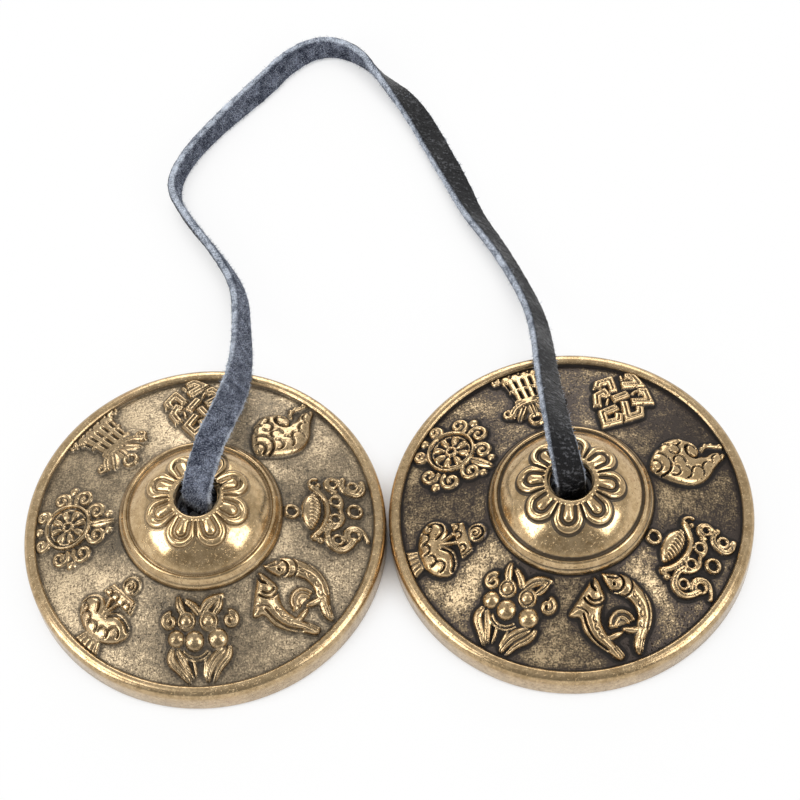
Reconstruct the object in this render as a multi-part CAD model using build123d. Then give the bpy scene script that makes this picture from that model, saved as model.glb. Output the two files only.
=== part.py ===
from build123d import *
import os
from math import ceil, cos, hypot, radians, sqrt, tan

# A pair of tingsha: two small bell-bronze hand cymbals on one flat leather strap.
# Millimetres, +Z up. Both cymbals stand on their rims on the floor, side by side along X,
# and the strap runs out of their domes, over the rims and round in a loop behind them.

# Plate and rim of a cymbal
cymbal_radius = 32.5
rim_height = 6.0
rim_wall = 4.2
rim_round = 1.2
foot_bevel = 0.7
border_width = 2.3
border_step = 0.85
border_bevel = 0.5
cone_rise = 5.7
plate_wall = 3.2

# Collar, dome and lip of a cymbal
collar_width = 1.9
collar_rise = 2.1
ridge_width = 0.45
ridge_rise = 0.3
dome_radius = 12.75
dome_rise = 5.85
dome_wall = 3.0
lip_width = 0.95
lip_rise = 0.75
lip_bevel = 0.25

# Cast relief: petals round the dome and the eight lucky symbols round the plate
petal_count = 8
petal_length = 4.9
petal_end_radius = 2.55
petal_root_radius = 1.55
petal_band = 0.95
petal_groove = 0.4
petal_groove_depth = 0.25
petal_relief = 0.35
petal_sides = 8
symbol_margin = 0.25
symbol_relief = 0.55
boss_sides = 6
relief_root = 0.4

# How the pair stands: the right casting is turned about its own axis
rim_gap = 0.42
right_turn = -29.5

# Leather strap and the knots that stop it under the domes
strap_width = 5.2
strap_thickness = 1.8
strap_station = 4.0
bore_clearance = 0.85
floor_clearance = 0.15
knot_overlap = 1.8
knot_height = 6.0
knot_corner_bevel = 0.8
knot_edge_chamfer = 0.9
knot_wrap_proud = 0.6
knot_clearance = 0.3
tail_length = 2.4

# Sizes that follow from those above
bore_radius = hypot(strap_width, strap_thickness) / 2 + bore_clearance
lip_radius = bore_radius + lip_width
field_radius = cymbal_radius - border_width
collar_radius = dome_radius + collar_width
field_edge_z = rim_height - border_step
collar_z = field_edge_z + cone_rise
dome_z = collar_z + collar_rise
cone_slope = cone_rise / (field_radius - collar_radius)
dome_ball = (dome_radius**2 + dome_rise**2) / (2 * dome_rise)
dome_centre_z = dome_z + dome_rise - dome_ball
inner_ball = dome_ball - dome_wall
bore_x = cymbal_radius + rim_gap / 2


def ball_z(ball, radius):
    """Height of the dome's ball, or of the hollow's, at a distance from the axis."""
    return dome_centre_z + sqrt(ball**2 - radius**2)


def cone_z(radius, offset=0.0):
    """Height of the plate's cone, or of its copy set off square to it."""
    return field_edge_z + cone_slope * (field_radius - radius) + offset * hypot(1, cone_slope)


def hollow_corner():
    """Radius where the cone under the plate meets the ball inside the dome."""
    axis_z = cone_z(0, -plate_wall) - dome_centre_z
    square = 1 + cone_slope**2
    half = cone_slope * axis_z
    return (half + sqrt(half**2 - square * (axis_z**2 - inner_ball**2))) / square


lip_base_z = ball_z(dome_ball, lip_radius)
lip_top_z = lip_base_z + lip_rise
knot_radius = bore_radius + knot_overlap
knot_top_z = ball_z(inner_ball, knot_radius) - knot_clearance


# Casting
def plate_profile():
    """Half section of a cymbal, from the foot over rim, plate, collar and dome to the bore."""
    bevel = rim_round * (1 - cos(radians(45)))
    dome_mid = (dome_radius + lip_radius) / 2
    corner = hollow_corner()
    hollow_mid = (bore_radius + corner) / 2
    rim_inner = cymbal_radius - rim_wall
    plate = Polyline(
        (cymbal_radius - foot_bevel, 0),
        (cymbal_radius, foot_bevel),
        (cymbal_radius, rim_height - rim_round),
        (cymbal_radius - bevel, rim_height - bevel),
        (cymbal_radius - rim_round, rim_height),
        (field_radius + border_bevel, rim_height),
        (field_radius, rim_height - border_bevel),
        (field_radius, field_edge_z),
        (collar_radius, collar_z),
        (dome_radius + ridge_width, dome_z + ridge_rise),
        (dome_radius, dome_z),
    )
    dome = ThreePointArc(
        (dome_radius, dome_z), (dome_mid, ball_z(dome_ball, dome_mid)), (lip_radius, lip_base_z)
    )
    lip = Polyline(
        (lip_radius, lip_base_z),
        (lip_radius, lip_top_z - lip_bevel),
        (lip_radius - lip_bevel, lip_top_z),
        (bore_radius + lip_bevel, lip_top_z),
        (bore_radius, lip_top_z - lip_bevel),
        (bore_radius, ball_z(inner_ball, bore_radius)),
    )
    hollow = ThreePointArc(
        (bore_radius, ball_z(inner_ball, bore_radius)),
        (hollow_mid, ball_z(inner_ball, hollow_mid)),
        (corner, cone_z(corner, -plate_wall)),
    )
    underside = Polyline(
        (corner, cone_z(corner, -plate_wall)),
        (rim_inner, cone_z(rim_inner, -plate_wall)),
        (rim_inner, 0),
        (cymbal_radius - foot_bevel, 0),
    )
    lines = [plate, dome, lip, hollow, underside]
    return make_face([edge for line in lines for edge in line.edges()])


def turned(profile):
    """Solid turned about the cymbal's axis from a half section."""
    return revolve(Plane.XZ * profile, Axis.Z)


def petals():
    """Ring of petals lying on the dome: a raised edge, a groove and a tongue in each."""
    middle = lip_radius + petal_length / 2
    square = Vector(middle, 0, sqrt(dome_ball**2 - middle**2)).normalized()
    outward = (square.Z, 0, -square.X)
    seat = Plane((middle, 0, ball_z(dome_ball, middle)), x_dir=outward, z_dir=square)
    end = Pos(petal_length / 2 - petal_end_radius, 0) * RegularPolygon(petal_end_radius, petal_sides)
    root = Pos(-petal_length / 2, 0) * RegularPolygon(petal_root_radius, petal_sides)
    blade = make_hull(end.edges() + root.edges())
    groove = offset(blade, -petal_band) - offset(blade, -petal_band - petal_groove)
    fall = dome_ball - sqrt(dome_ball**2 - petal_length**2)
    root_depth = fall + relief_root
    pad = Pos(0, 0, -root_depth) * extrude(blade, root_depth + petal_relief)
    pad -= Pos(0, 0, petal_relief - petal_groove_depth) * extrude(groove, petal_groove_depth)
    lip_core = Cylinder(lip_radius - lip_bevel / 2, 4 * lip_top_z)
    return PolarLocations(0, petal_count, 180 / petal_count) * (seat * pad - lip_core)


# Symbols. Each is drawn 15 mm high about its own centre, with +Y towards the dome.
drawn_height = 15.0


def boss(x, y, radius):
    """Pearl or curl, as a small many-sided boss."""
    return Pos(x, y) * RegularPolygon(radius, boss_sides)


def taper(points, widths):
    """Flat shape of changing width along a line of points."""
    left = []
    right = []
    for i, width in enumerate(widths):
        before = Vector(*points[max(i - 1, 0)])
        after = Vector(*points[min(i + 1, len(points) - 1)])
        side = (after - before).normalized().rotate(Axis.Z, 90) * (width / 2)
        left.append(Vector(*points[i]) + side)
        right.append(Vector(*points[i]) - side)
    return Polygon(*left, *reversed(right), align=None)


def outline(*points):
    """Closed straight-sided shape."""
    return Polygon(*points, align=None)


def endless_knot():
    """Kite of bands that cross round open cells."""
    top, right, bottom, left = Vector(1.4, 7.2), Vector(7.7, -1.8), Vector(1.9, -7.7), Vector(-3.9, -2.6)
    cells = 3
    band = 0.12
    window = (1 - (cells + 1) * band) / cells

    def place(u, v):
        return (top * (1 - u) + right * u) * (1 - v) + (left * (1 - u) + bottom * u) * v

    def cell(u, v, size):
        return outline(place(u, v), place(u + size, v), place(u + size, v + size), place(u, v + size))

    lattice = cell(0, 0, 1)
    for row in range(cells):
        for column in range(cells):
            lattice -= cell(band + column * (band + window), band + row * (band + window), window)
    return lattice


def conch():
    """Shell with a curled mouth."""
    shell = outline(
        (1.5, 8.0), (-1.1, 5.7), (-3.7, 2.6), (-2.9, -1.4), (1.9, -7.1), (3.0, -6.9),
        (2.3, -2.6), (4.6, -2.5), (7.0, 0.6), (6.2, 4.0), (4.0, 6.6),
    )
    return shell - boss(3.6, -0.2, 1.3)


def parasol():
    """Canopy under a pearl, over hanging scrolls."""
    canopy = outline((-5.3, 2.9), (-2.2, 0.2), (2.6, 0.2), (6.0, 3.2), (1.6, 4.8), (-1.4, 4.8))
    scrolls = boss(-4.2, -2.2, 2.2) + boss(5.2, -2.6, 2.3) + boss(0.8, -4.6, 1.9)
    return boss(0.1, 6.4, 1.4) + canopy + scrolls


def fish_pair():
    """Two fish, nose to nose, round a hollow."""
    widths = [1.2, 3.6, 3.2, 1.5]
    left = taper([(-0.9, 7.2), (-3.4, 2.6), (-3.0, -2.2), (-0.4, -6.6)], widths)
    right = taper([(0.8, 7.2), (4.6, 2.6), (5.0, -2.2), (2.3, -6.4)], widths)
    return left + right + outline((-7.2, 2.1), (-4.2, 2.9), (-4.6, -0.4))


def lotus():
    """Flower of pearls between upper and lower leaves."""
    leaves = outline((-3.4, 6.9), (-3.6, 4.8), (-1.0, 3.6))
    leaves += outline((4.5, 6.9), (0.2, 3.9), (3.4, 4.6))
    leaves += outline((-6.0, -1.4), (-4.9, -5.0), (-2.0, -7.0), (-2.6, -3.6))
    leaves += outline((5.6, -1.4), (2.0, -3.8), (0.9, -7.0), (4.2, -5.2))
    return leaves + boss(-3.0, 1.6, 2.2) + boss(1.9, 1.6, 2.2) + boss(-0.6, -1.6, 1.8)


def vase():
    """Jewel over a necked jar on a flared foot."""
    jar = outline(
        (-2.2, 3.2), (3.2, 3.2), (4.1, 1.3), (2.8, 0.7), (5.9, -1.9), (4.2, -4.4), (1.9, -5.6),
        (3.2, -7.5), (-1.4, -7.5), (-0.3, -5.6), (-3.0, -4.6), (-4.8, -1.9), (-2.0, 0.7), (-3.2, 1.3),
    )
    return boss(0.5, 5.3, 1.7) + jar


def wheel():
    """Spoked wheel with a cloud on each side."""
    gap = outline((1.2, 0.0), (3.6, -0.9), (3.6, 0.9))
    hoop = RegularPolygon(4.8, 8, rotation=22.5) - PolarLocations(0, 8) * gap
    return Pos(-0.1, -1.4) * hoop + boss(-3.0, 4.6, 1.8) + boss(3.0, 4.6, 1.8)


def banner():
    """Tower of cloth under a curved roof and a finial."""
    roof = outline((-5.6, 3.3), (-3.2, 0.0), (2.9, 0.0), (5.4, 3.2), (0.0, 2.0))
    cloth = outline((-3.2, 0.0), (2.9, 0.0), (4.0, -6.5), (-0.5, -7.4), (-5.0, -6.7))
    slit_pitch = 2.2
    for side in (-1, 1):
        cloth -= Pos(-0.3 + side * slit_pitch / 2, -3.4) * Rectangle(0.7, 3.8)
    return boss(0.0, 4.2, 2.0) + roof + cloth


def symbols():
    """The eight symbols, cast on the sloping plate at even angles."""
    drawn = [parasol, conch, endless_knot, banner, wheel, vase, lotus, fish_pair]
    scale_to_field = (field_radius - collar_radius - 2 * symbol_margin) / drawn_height
    middle = (field_radius + collar_radius) / 2
    low = collar_radius + symbol_margin
    high = field_radius - symbol_margin
    band = turned(
        outline(
            (low, cone_z(low, -relief_root)),
            (high, cone_z(high, -relief_root)),
            (high, cone_z(high, symbol_relief)),
            (low, cone_z(low, symbol_relief)),
        )
    )
    relief = []
    for place, draw in enumerate(drawn):
        angle = 360 * place / len(drawn)
        symbol = Rot(0, 0, angle) * Pos(middle, 0) * Rot(0, 0, 90) * scale(draw(), scale_to_field)
        relief += (extrude(symbol, dome_z, dir=(0, 0, 1)) & band).solids()
    return relief


def casting():
    """One cymbal at the origin, standing on its rim."""
    return (turned(plate_profile()) + [*petals(), *symbols()]).solid()


# Strap route
def bore_point(side, z, across):
    """Point on a bore's axis."""
    return Vector(side * bore_x, 0, z), Vector(*across)


def over_bore(side, x, y, z, across):
    """Point of the arch above a lip, measured from the mouth of the bore."""
    return Vector(side * bore_x + x, y, lip_top_z + z), Vector(*across)


def over_rim(side, x, y, z, across):
    """Point near a rim, measured from the bore's axis and the top of the rim's back."""
    return Vector(side * bore_x + x, cymbal_radius + y, rim_height + z), Vector(*across)


def on_floor(x, y, across):
    """Point behind the rims where the strap stands or leans on its lower edge."""
    up = Vector(*across).normalized().Z
    lie = strap_width / 2 * up + strap_thickness / 2 * sqrt(1 - up**2) + floor_clearance
    return Vector(x, cymbal_radius + y, lie), Vector(*across)


# Each point has the direction across the strap, towards the edge that shows palest.
left_neck_route = [
    bore_point(-1, knot_top_z, (-0.91, 0.42, 0)),
    bore_point(-1, lip_top_z, (-0.91, 0.42, 0)),
    over_bore(-1, 1.0, 2.4, 2.9, (-0.92, 0.40, 0.01)),
]
left_bend_route = [
    over_bore(-1, 3.1, 7.4, 5.9, (-0.95, 0.31, 0.07)),
    over_bore(-1, 5.4, 14.6, 3.3, (-0.91, 0.33, 0.26)),
]
left_run_route = [
    over_rim(-1, 6.9, -8.9, 10.3, (-0.70, 0.43, 0.57)),
    over_rim(-1, 7.0, 0.3, 4.1, (-0.60, 0.39, 0.70)),
    over_rim(-1, 6.3, 9.7, -1.3, (-0.43, 0.33, 0.84)),
    on_floor(-27.0, 18.5, (-0.38, 0.00, 0.92)),
    on_floor(-31.2, 26.2, (-0.25, -0.15, 0.96)),
    on_floor(-37.0, 34.4, (-0.14, -0.08, 0.99)),
    on_floor(-40.5, 41.2, (-0.19, 0.00, 0.98)),
    on_floor(-37.8, 48.6, (-0.05, 0.02, 1.00)),
    on_floor(-31.0, 56.8, (-0.08, 0.08, 0.99)),
    on_floor(-22.8, 64.8, (-0.31, 0.29, 0.91)),
]
crown_route = [
    on_floor(-17.0, 71.8, (-0.19, 0.24, 0.95)),
    on_floor(-10.2, 74.9, (-0.02, 0.12, 0.99)),
    on_floor(-3.8, 72.0, (-0.05, -0.06, 1.00)),
    on_floor(0.8, 65.6, (-0.33, -0.30, 0.89)),
]
right_run_route = [
    on_floor(5.2, 60.6, (-0.68, -0.54, 0.50)),
    on_floor(8.3, 55.2, (-0.83, -0.43, 0.37)),
    on_floor(11.6, 47.6, (-0.85, -0.37, 0.37)),
    on_floor(14.8, 40.2, (-0.82, -0.32, 0.47)),
    on_floor(17.4, 33.0, (-0.66, -0.30, 0.69)),
    on_floor(21.6, 26.0, (-0.55, -0.31, 0.78)),
    on_floor(25.2, 18.6, (-0.53, -0.23, 0.82)),
    over_rim(1, -4.5, 10.1, -1.4, (-0.64, 0.06, 0.76)),
    over_rim(1, -3.5, 1.1, 3.3, (-0.68, 0.30, 0.66)),
    over_rim(1, -3.2, -8.3, 9.0, (-0.73, 0.35, 0.58)),
]
right_bend_route = [
    over_bore(1, -2.6, 15.0, 1.6, (-0.81, 0.25, 0.52)),
    over_bore(1, -1.8, 6.6, 5.8, (-0.88, 0.00, 0.48)),
]
right_neck_route = [
    over_bore(1, -0.7, 1.6, 3.2, (-0.92, -0.30, 0.20)),
    bore_point(1, lip_top_z, (-0.96, -0.27, 0)),
    bore_point(1, knot_top_z, (-0.96, -0.27, 0)),
]

stretches = {
    "strap_left_neck": left_neck_route,
    "strap_left_bend": left_bend_route,
    "strap_left_run": left_run_route,
    "strap_crown": crown_route,
    "strap_right_run": right_run_route,
    "strap_right_bend": right_bend_route,
    "strap_right_neck": right_neck_route,
}
route = [station for stretch in stretches.values() for station in stretch]
points = [point for point, across in route]
runs = [(after - before).length for before, after in zip(points, points[1:])]
reach = [sum(runs[:i]) / sum(runs) for i in range(len(points))]


def corner_radii():
    """Largest arcs that the runs beside each inner point allow."""
    radii = []
    for i in range(1, len(points) - 1):
        turn = (points[i] - points[i - 1]).get_angle(points[i + 1] - points[i])
        radii.append(0.45 * min(runs[i - 1], runs[i]) / tan(radians(turn / 2)))
    return radii


arc_radii = corner_radii()
strap_path = FilletPolyline(*points, radius=arc_radii)


def strap_section(share):
    """Section square to the strap at a share of its length."""
    along = strap_path % share
    last = len(reach) - 2
    i = min(sum(share >= start for start in reach) - 1, last)
    blend = (share - reach[i]) / (reach[i + 1] - reach[i])
    across = route[i][1] * (1 - blend) + route[i + 1][1] * blend
    across = across - along * across.dot(along)
    plane = Plane(strap_path @ share, x_dir=across, z_dir=along)
    return plane * Rectangle(strap_width, strap_thickness)


def strap_stretch(start, end):
    """Strap between two shares of its length."""
    steps = ceil((end - start) * strap_path.length / strap_station)
    shares = [start + (end - start) * i / steps for i in range(steps + 1)]
    return loft([strap_section(share) for share in shares], ruled=True)


def stretch_ends():
    """Shares of the length where one stretch meets the next, halfway along a run."""
    ends = [0.0]
    count = 0
    for stretch in list(stretches.values())[:-1]:
        count += len(stretch)
        ends.append((reach[count - 1] + reach[count]) / 2)
    return ends + [1.0]


def knot(side, across):
    """Overhand knot of the flat strap: a five-sided pad, the wrap over it and the cut tail."""
    pad = extrude(RegularPolygon(knot_radius, 5), -knot_height)
    pad = chamfer(pad.edges().filter_by(Axis.Z), knot_corner_bevel)
    pad = chamfer(pad.faces().sort_by(Axis.Z)[-1].edges(), knot_edge_chamfer)
    pad = chamfer(pad.faces().sort_by(Axis.Z)[0].edges(), knot_edge_chamfer)
    wrap_reach = knot_radius * cos(radians(36)) + knot_wrap_proud
    wrap_depth = knot_height - 2 * knot_edge_chamfer
    wrap = Pos(wrap_reach / 2, 0, -knot_height / 2) * Box(wrap_reach, strap_width, wrap_depth)
    wrap = Rot(0, 0, 180) * chamfer(wrap.edges().filter_by(Axis.Y), knot_wrap_proud)
    tail = Pos(0, 0, -knot_height) * extrude(Rectangle(strap_width, strap_thickness), -tail_length)
    heading = Plane((side * bore_x, 0, knot_top_z), x_dir=across, z_dir=(0, 0, 1))
    return heading * (pad + wrap + tail)


# Nodes
cymbal = casting()
nodes = {
    "left_cymbal": Pos(-bore_x, 0) * cymbal,
    "right_cymbal": Pos(bore_x, 0) * Rot(0, 0, right_turn) * cymbal,
    "left_knot": knot(-1, left_neck_route[0][1]),
    "right_knot": knot(1, right_neck_route[-1][1]),
}
ends = stretch_ends()
for name, start, end in zip(stretches, ends, ends[1:]):
    nodes[name] = strap_stretch(start, end)

os.makedirs("parts", exist_ok=True)
for name, node in nodes.items():
    node.label = name
    export_step(node, f"parts/{name}.step")

strap_volume = sum(nodes[name].volume for name in stretches)
print("strap arc radii mm:", [round(radius, 1) for radius in arc_radii])
print("strap length mm:", round(strap_path.length, 1))
print("strap volume over section times length:", round(
    strap_volume / (strap_width * strap_thickness * strap_path.length), 3))
print("strap lowest mm:", round(min(nodes[name].bounding_box().min.Z for name in stretches), 3))
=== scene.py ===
"""Tingsha: two cast bronze hand cymbals joined by one knotted leather strap."""
import logging
import math
from dataclasses import dataclass, field
from enum import Enum
from typing import Callable, Mapping, Sequence, Union

import bpy
import numpy as np
from mathutils import Matrix, Vector


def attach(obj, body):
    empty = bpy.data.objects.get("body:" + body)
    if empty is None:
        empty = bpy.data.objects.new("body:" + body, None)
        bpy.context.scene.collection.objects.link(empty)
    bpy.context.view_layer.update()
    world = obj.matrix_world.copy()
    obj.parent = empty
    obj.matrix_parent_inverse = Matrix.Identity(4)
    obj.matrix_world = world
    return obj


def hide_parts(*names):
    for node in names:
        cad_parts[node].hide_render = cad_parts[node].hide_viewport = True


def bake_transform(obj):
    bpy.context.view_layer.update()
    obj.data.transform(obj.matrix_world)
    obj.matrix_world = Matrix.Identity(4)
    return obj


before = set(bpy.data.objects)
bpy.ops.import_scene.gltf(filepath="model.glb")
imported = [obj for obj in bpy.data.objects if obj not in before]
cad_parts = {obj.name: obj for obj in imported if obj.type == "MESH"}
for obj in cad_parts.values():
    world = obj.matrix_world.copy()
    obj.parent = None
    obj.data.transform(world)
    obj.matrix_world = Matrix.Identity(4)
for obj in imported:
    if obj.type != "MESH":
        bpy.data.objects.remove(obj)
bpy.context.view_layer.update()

LOG = logging.getLogger("tingsha")
MM = 0.001
FULL_TURN = 2.0 * math.pi
Colour = tuple[float, float, float, float]
Pair = tuple[float, float]
Point = tuple[float, float, float]
WHITE: Colour = (1.0, 1.0, 1.0, 1.0)


class Side(Enum):
    """Which half of the pair a piece belongs to."""

    LEFT = "left"
    RIGHT = "right"


class Face(Enum):
    """The three kinds of surface on a cut leather strap."""

    FLESH = 0
    CUT = 1
    GRAIN = 2


class Signal:
    """A node's output socket that Python arithmetic works on."""

    def __init__(self, wiring: "Wiring", socket: bpy.types.NodeSocket) -> None:
        """Wraps one output socket of a node tree."""
        self.wiring = wiring
        self.socket = socket

    def _math(self, operation: str, first: "Value", second: "Value") -> "Signal":
        """Adds one Math node."""
        return self.wiring.node("ShaderNodeMath", {"operation": operation}, {0: first, 1: second})

    def __add__(self, other: "Value") -> "Signal":
        """Sum of two values."""
        return self._math("ADD", self, other)

    def __radd__(self, other: "Value") -> "Signal":
        """Sum with a plain number first."""
        return self._math("ADD", other, self)

    def __sub__(self, other: "Value") -> "Signal":
        """Difference of two values."""
        return self._math("SUBTRACT", self, other)

    def __rsub__(self, other: "Value") -> "Signal":
        """Difference with a plain number first."""
        return self._math("SUBTRACT", other, self)

    def __mul__(self, other: "Value") -> "Signal":
        """Product of two values."""
        return self._math("MULTIPLY", self, other)

    def highest(self, other: "Value") -> "Signal":
        """The larger of two values."""
        return self._math("MAXIMUM", self, other)


Value = Union[Signal, float, Sequence[float]]


class Wiring:
    """A node tree under construction."""

    def __init__(self, tree: bpy.types.NodeTree) -> None:
        """Starts from the tree as it stands."""
        self.tree = tree

    def feed(self, socket: bpy.types.NodeSocket, value: Value) -> None:
        """Links a signal to a socket, or sets the socket's own value.

        Args:
            socket: The input socket.
            value: What it gets.
        """
        if isinstance(value, Signal):
            self.tree.links.new(value.socket, socket)
        else:
            socket.default_value = value

    def node(
        self,
        kind: str,
        settings: Mapping[str, object] | None = None,
        inputs: Mapping[Union[int, str], Value] | None = None,
        output: Union[int, str] = 0,
    ) -> Signal:
        """Adds any node.

        Args:
            kind: The node's type name.
            settings: The node's own settings, set first.
            inputs: Values or links of its sockets.
            output: Which output socket to return.

        Returns:
            The output socket as a signal.
        """
        made = self.tree.nodes.new(kind)
        for key, value in (settings or {}).items():
            setattr(made, key, value)
        for key, value in (inputs or {}).items():
            self.feed(made.inputs[key], value)
        return Signal(self, made.outputs[output])


@dataclass(frozen=True)
class Grit:
    """A kind of noise: features per metre, how many finer layers, and how strong they are."""

    scale: float
    detail: float
    rough: float


class Paint(Wiring):
    """The node tree of a material or a world."""

    def __init__(self, owner: Union[bpy.types.Material, bpy.types.World]) -> None:
        """Starts from the owner's bare shader.

        Args:
            owner: The new material or world.
        """
        owner.use_nodes = True
        super().__init__(owner.node_tree)
        self.owner = owner
        self.shader = next(node for node in self.tree.nodes if node.outputs)

    def layer(self, name: str) -> Signal:
        """Reads a number that the mesh carries at each point."""
        return self.node("ShaderNodeAttribute", {"attribute_name": name}, output="Fac")

    def place(self) -> Signal:
        """Object coordinates, in metres."""
        return self.node("ShaderNodeTexCoord", output="Object")

    def noise(self, grit: Grit, where: Value | None = None) -> Signal:
        """Cloudy noise from 0 to 1.

        Args:
            grit: The kind of noise.
            where: Coordinates, or the object's own.

        Returns:
            The noise value.
        """
        inputs = {"Scale": grit.scale, "Detail": grit.detail, "Roughness": grit.rough}
        inputs["Vector"] = where or self.place()
        return self.node("ShaderNodeTexNoise", {}, inputs)

    def streaks(self, stretch: Point, detail: float = 2.0) -> Signal:
        """Noise drawn out along an axis.

        Args:
            stretch: Features per metre along each axis.
            detail: How many finer layers are added.

        Returns:
            The noise value.
        """
        scaled = {0: self.place(), 1: stretch}
        where = self.node("ShaderNodeVectorMath", {"operation": "MULTIPLY"}, scaled)
        return self.noise(Grit(1.0, detail, 0.6), where)

    def step(self, value: Value, low: float, high: float) -> Signal:
        """Smooth step from 0 at low to 1 at high."""
        ends = {"Value": value, "From Min": low, "From Max": high}
        return self.node("ShaderNodeMapRange", {"interpolation_type": "SMOOTHSTEP"}, ends)

    def mix(self, share: Value, first: Value, second: Value) -> Signal:
        """Colour from first at share 0 to second at share 1."""
        return self.node("ShaderNodeMix", {"data_type": "RGBA"}, {0: share, 6: first, 7: second}, 2)

    def bump(self, height: Value, distance: float, strength: float = 0.9) -> None:
        """Feeds the shader's normal from a height."""
        made = {"Height": height, "Distance": distance, "Strength": strength}
        self.feed(self.shader.inputs["Normal"], self.node("ShaderNodeBump", {}, made))

    def seen(self) -> Signal:
        """Tells the rays that show things as they are from the rays that only light them.

        Returns:
            One for camera, glossy and transmission rays, zero for others.
        """
        kinds = ("Camera", "Glossy", "Transmission")
        camera, glossy, through = (
            self.node("ShaderNodeLightPath", output=f"Is {kind} Ray") for kind in kinds
        )
        return camera.highest(glossy).highest(through)

    def dress(self, **sockets: Value) -> bpy.types.ID:
        """Sets the shader's sockets, named with underscores for spaces.

        Args:
            sockets: Values or links of the shader.

        Returns:
            The finished material or world.
        """
        for name, value in sockets.items():
            self.feed(self.shader.inputs[name.replace("_", " ")], value)
        return self.owner


@dataclass(frozen=True)
class BronzeFinish:
    """Bell bronze: polished high spots over a patina that age leaves in the low ones."""

    name: str
    deep: Colour
    patina: Colour
    worn: Colour
    patina_range: Pair
    worn_range: Pair
    soil_and_shade: float
    polish: float
    bright: Colour = (0.680, 0.500, 0.285, 1.0)
    bright_deep: Colour = (0.440, 0.300, 0.150, 1.0)
    tarnish: Colour = (0.330, 0.180, 0.075, 1.0)
    # Near-black of grime in the relief's lines, which also serves as painted shade there.
    grime_and_shade: Colour = (0.014, 0.011, 0.009, 1.0)
    drift: Grit = Grit(85.0, 3.0, 0.55)
    cloud: Grit = Grit(260.0, 4.0, 0.65)
    mottle: Grit = Grit(950.0, 4.0, 0.7)
    speck: Grit = Grit(3200.0, 3.0, 0.7)
    pit: Grit = Grit(2500.0, 2.0, 0.5)
    brush: Point = (700.0, 4200.0, 2500.0)
    bump: float = 0.15 * MM

    def material(self) -> bpy.types.Material:
        """Builds the node material.

        Returns:
            The material, which reads the casting's wear layers; its cavity layer darkens as grime
            and as painted shade.
        """
        paint = Paint(bpy.data.materials.new(self.name))
        relief, cavity = paint.layer("relief"), paint.layer("cavity")
        shelter, shine = paint.layer("shelter"), paint.layer("shine")
        drift, cloud = paint.noise(self.drift), paint.noise(self.cloud)
        mottle, speck = paint.noise(self.mottle), paint.noise(self.speck)
        along, across, through = self.brush
        strokes = paint.streaks((along, across, through)) + paint.streaks((across, along, through))
        grain = speck * 0.65 + strokes * 0.5 * 0.35
        # Hands rub the open ground bright in patches of every size, and leave sheltered places.
        rub = (drift - 0.5) * 1.2 + (cloud - 0.5) * 0.4
        rub = rub + (mottle - 0.5) * 0.6 + (grain - 0.5) * 2.0
        rub = rub - shelter * (self.soil_and_shade * 0.5 - 0.15)
        ground = paint.mix(paint.step(rub, *self.patina_range), self.deep, self.patina)
        wear = paint.step(rub, *self.worn_range)
        ground = paint.mix(wear, ground, self.worn)
        # Bare metal varies in tone, with a little warm tarnish.
        shade = paint.step(cloud * 0.5 + mottle * 0.5, 0.35, 0.65)
        tone = paint.mix(shade, self.bright_deep, self.bright)
        warm = paint.step(drift * 0.4 + cloud * 0.6, 0.52, 0.68) * 0.55
        tone = paint.mix(warm, tone, self.tarnish)
        bare = shine.highest(paint.step(relief + (mottle - 0.5) * 0.8, 0.38, 0.92) * self.polish)
        colour = paint.mix(bare, ground, tone)
        # Grime and painted shade darken the lines of the relief, and grime darkens small casting
        # pits.
        dirt_and_shade = paint.step(cavity + (speck - 0.5) * 0.6, 0.18, 0.60) * self.soil_and_shade
        pits = paint.step(paint.noise(self.pit), 0.61, 0.70)
        pits = pits * (1 - shine * 0.75) * (self.soil_and_shade * 0.4 + 0.55)
        colour = paint.mix(dirt_and_shade.highest(pits * 0.75), colour, self.grime_and_shade)
        gloss = bare.highest(paint.step(relief, 0.15, 0.60))
        rough = 0.46 - gloss * 0.26 - shine * 0.04 - wear * (1 - gloss) * 0.18
        rough = rough + dirt_and_shade * 0.25 + (grain - 0.5) * 0.25
        dull = (1 - shine * 0.85) * (1 - gloss * 0.75)
        paint.bump((mottle * 0.4 + grain * 0.6) * dull - pits * 0.8, self.bump)
        return paint.dress(Base_Color=colour, Roughness=rough, Metallic=0.97 - dirt_and_shade * 0.5)


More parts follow.
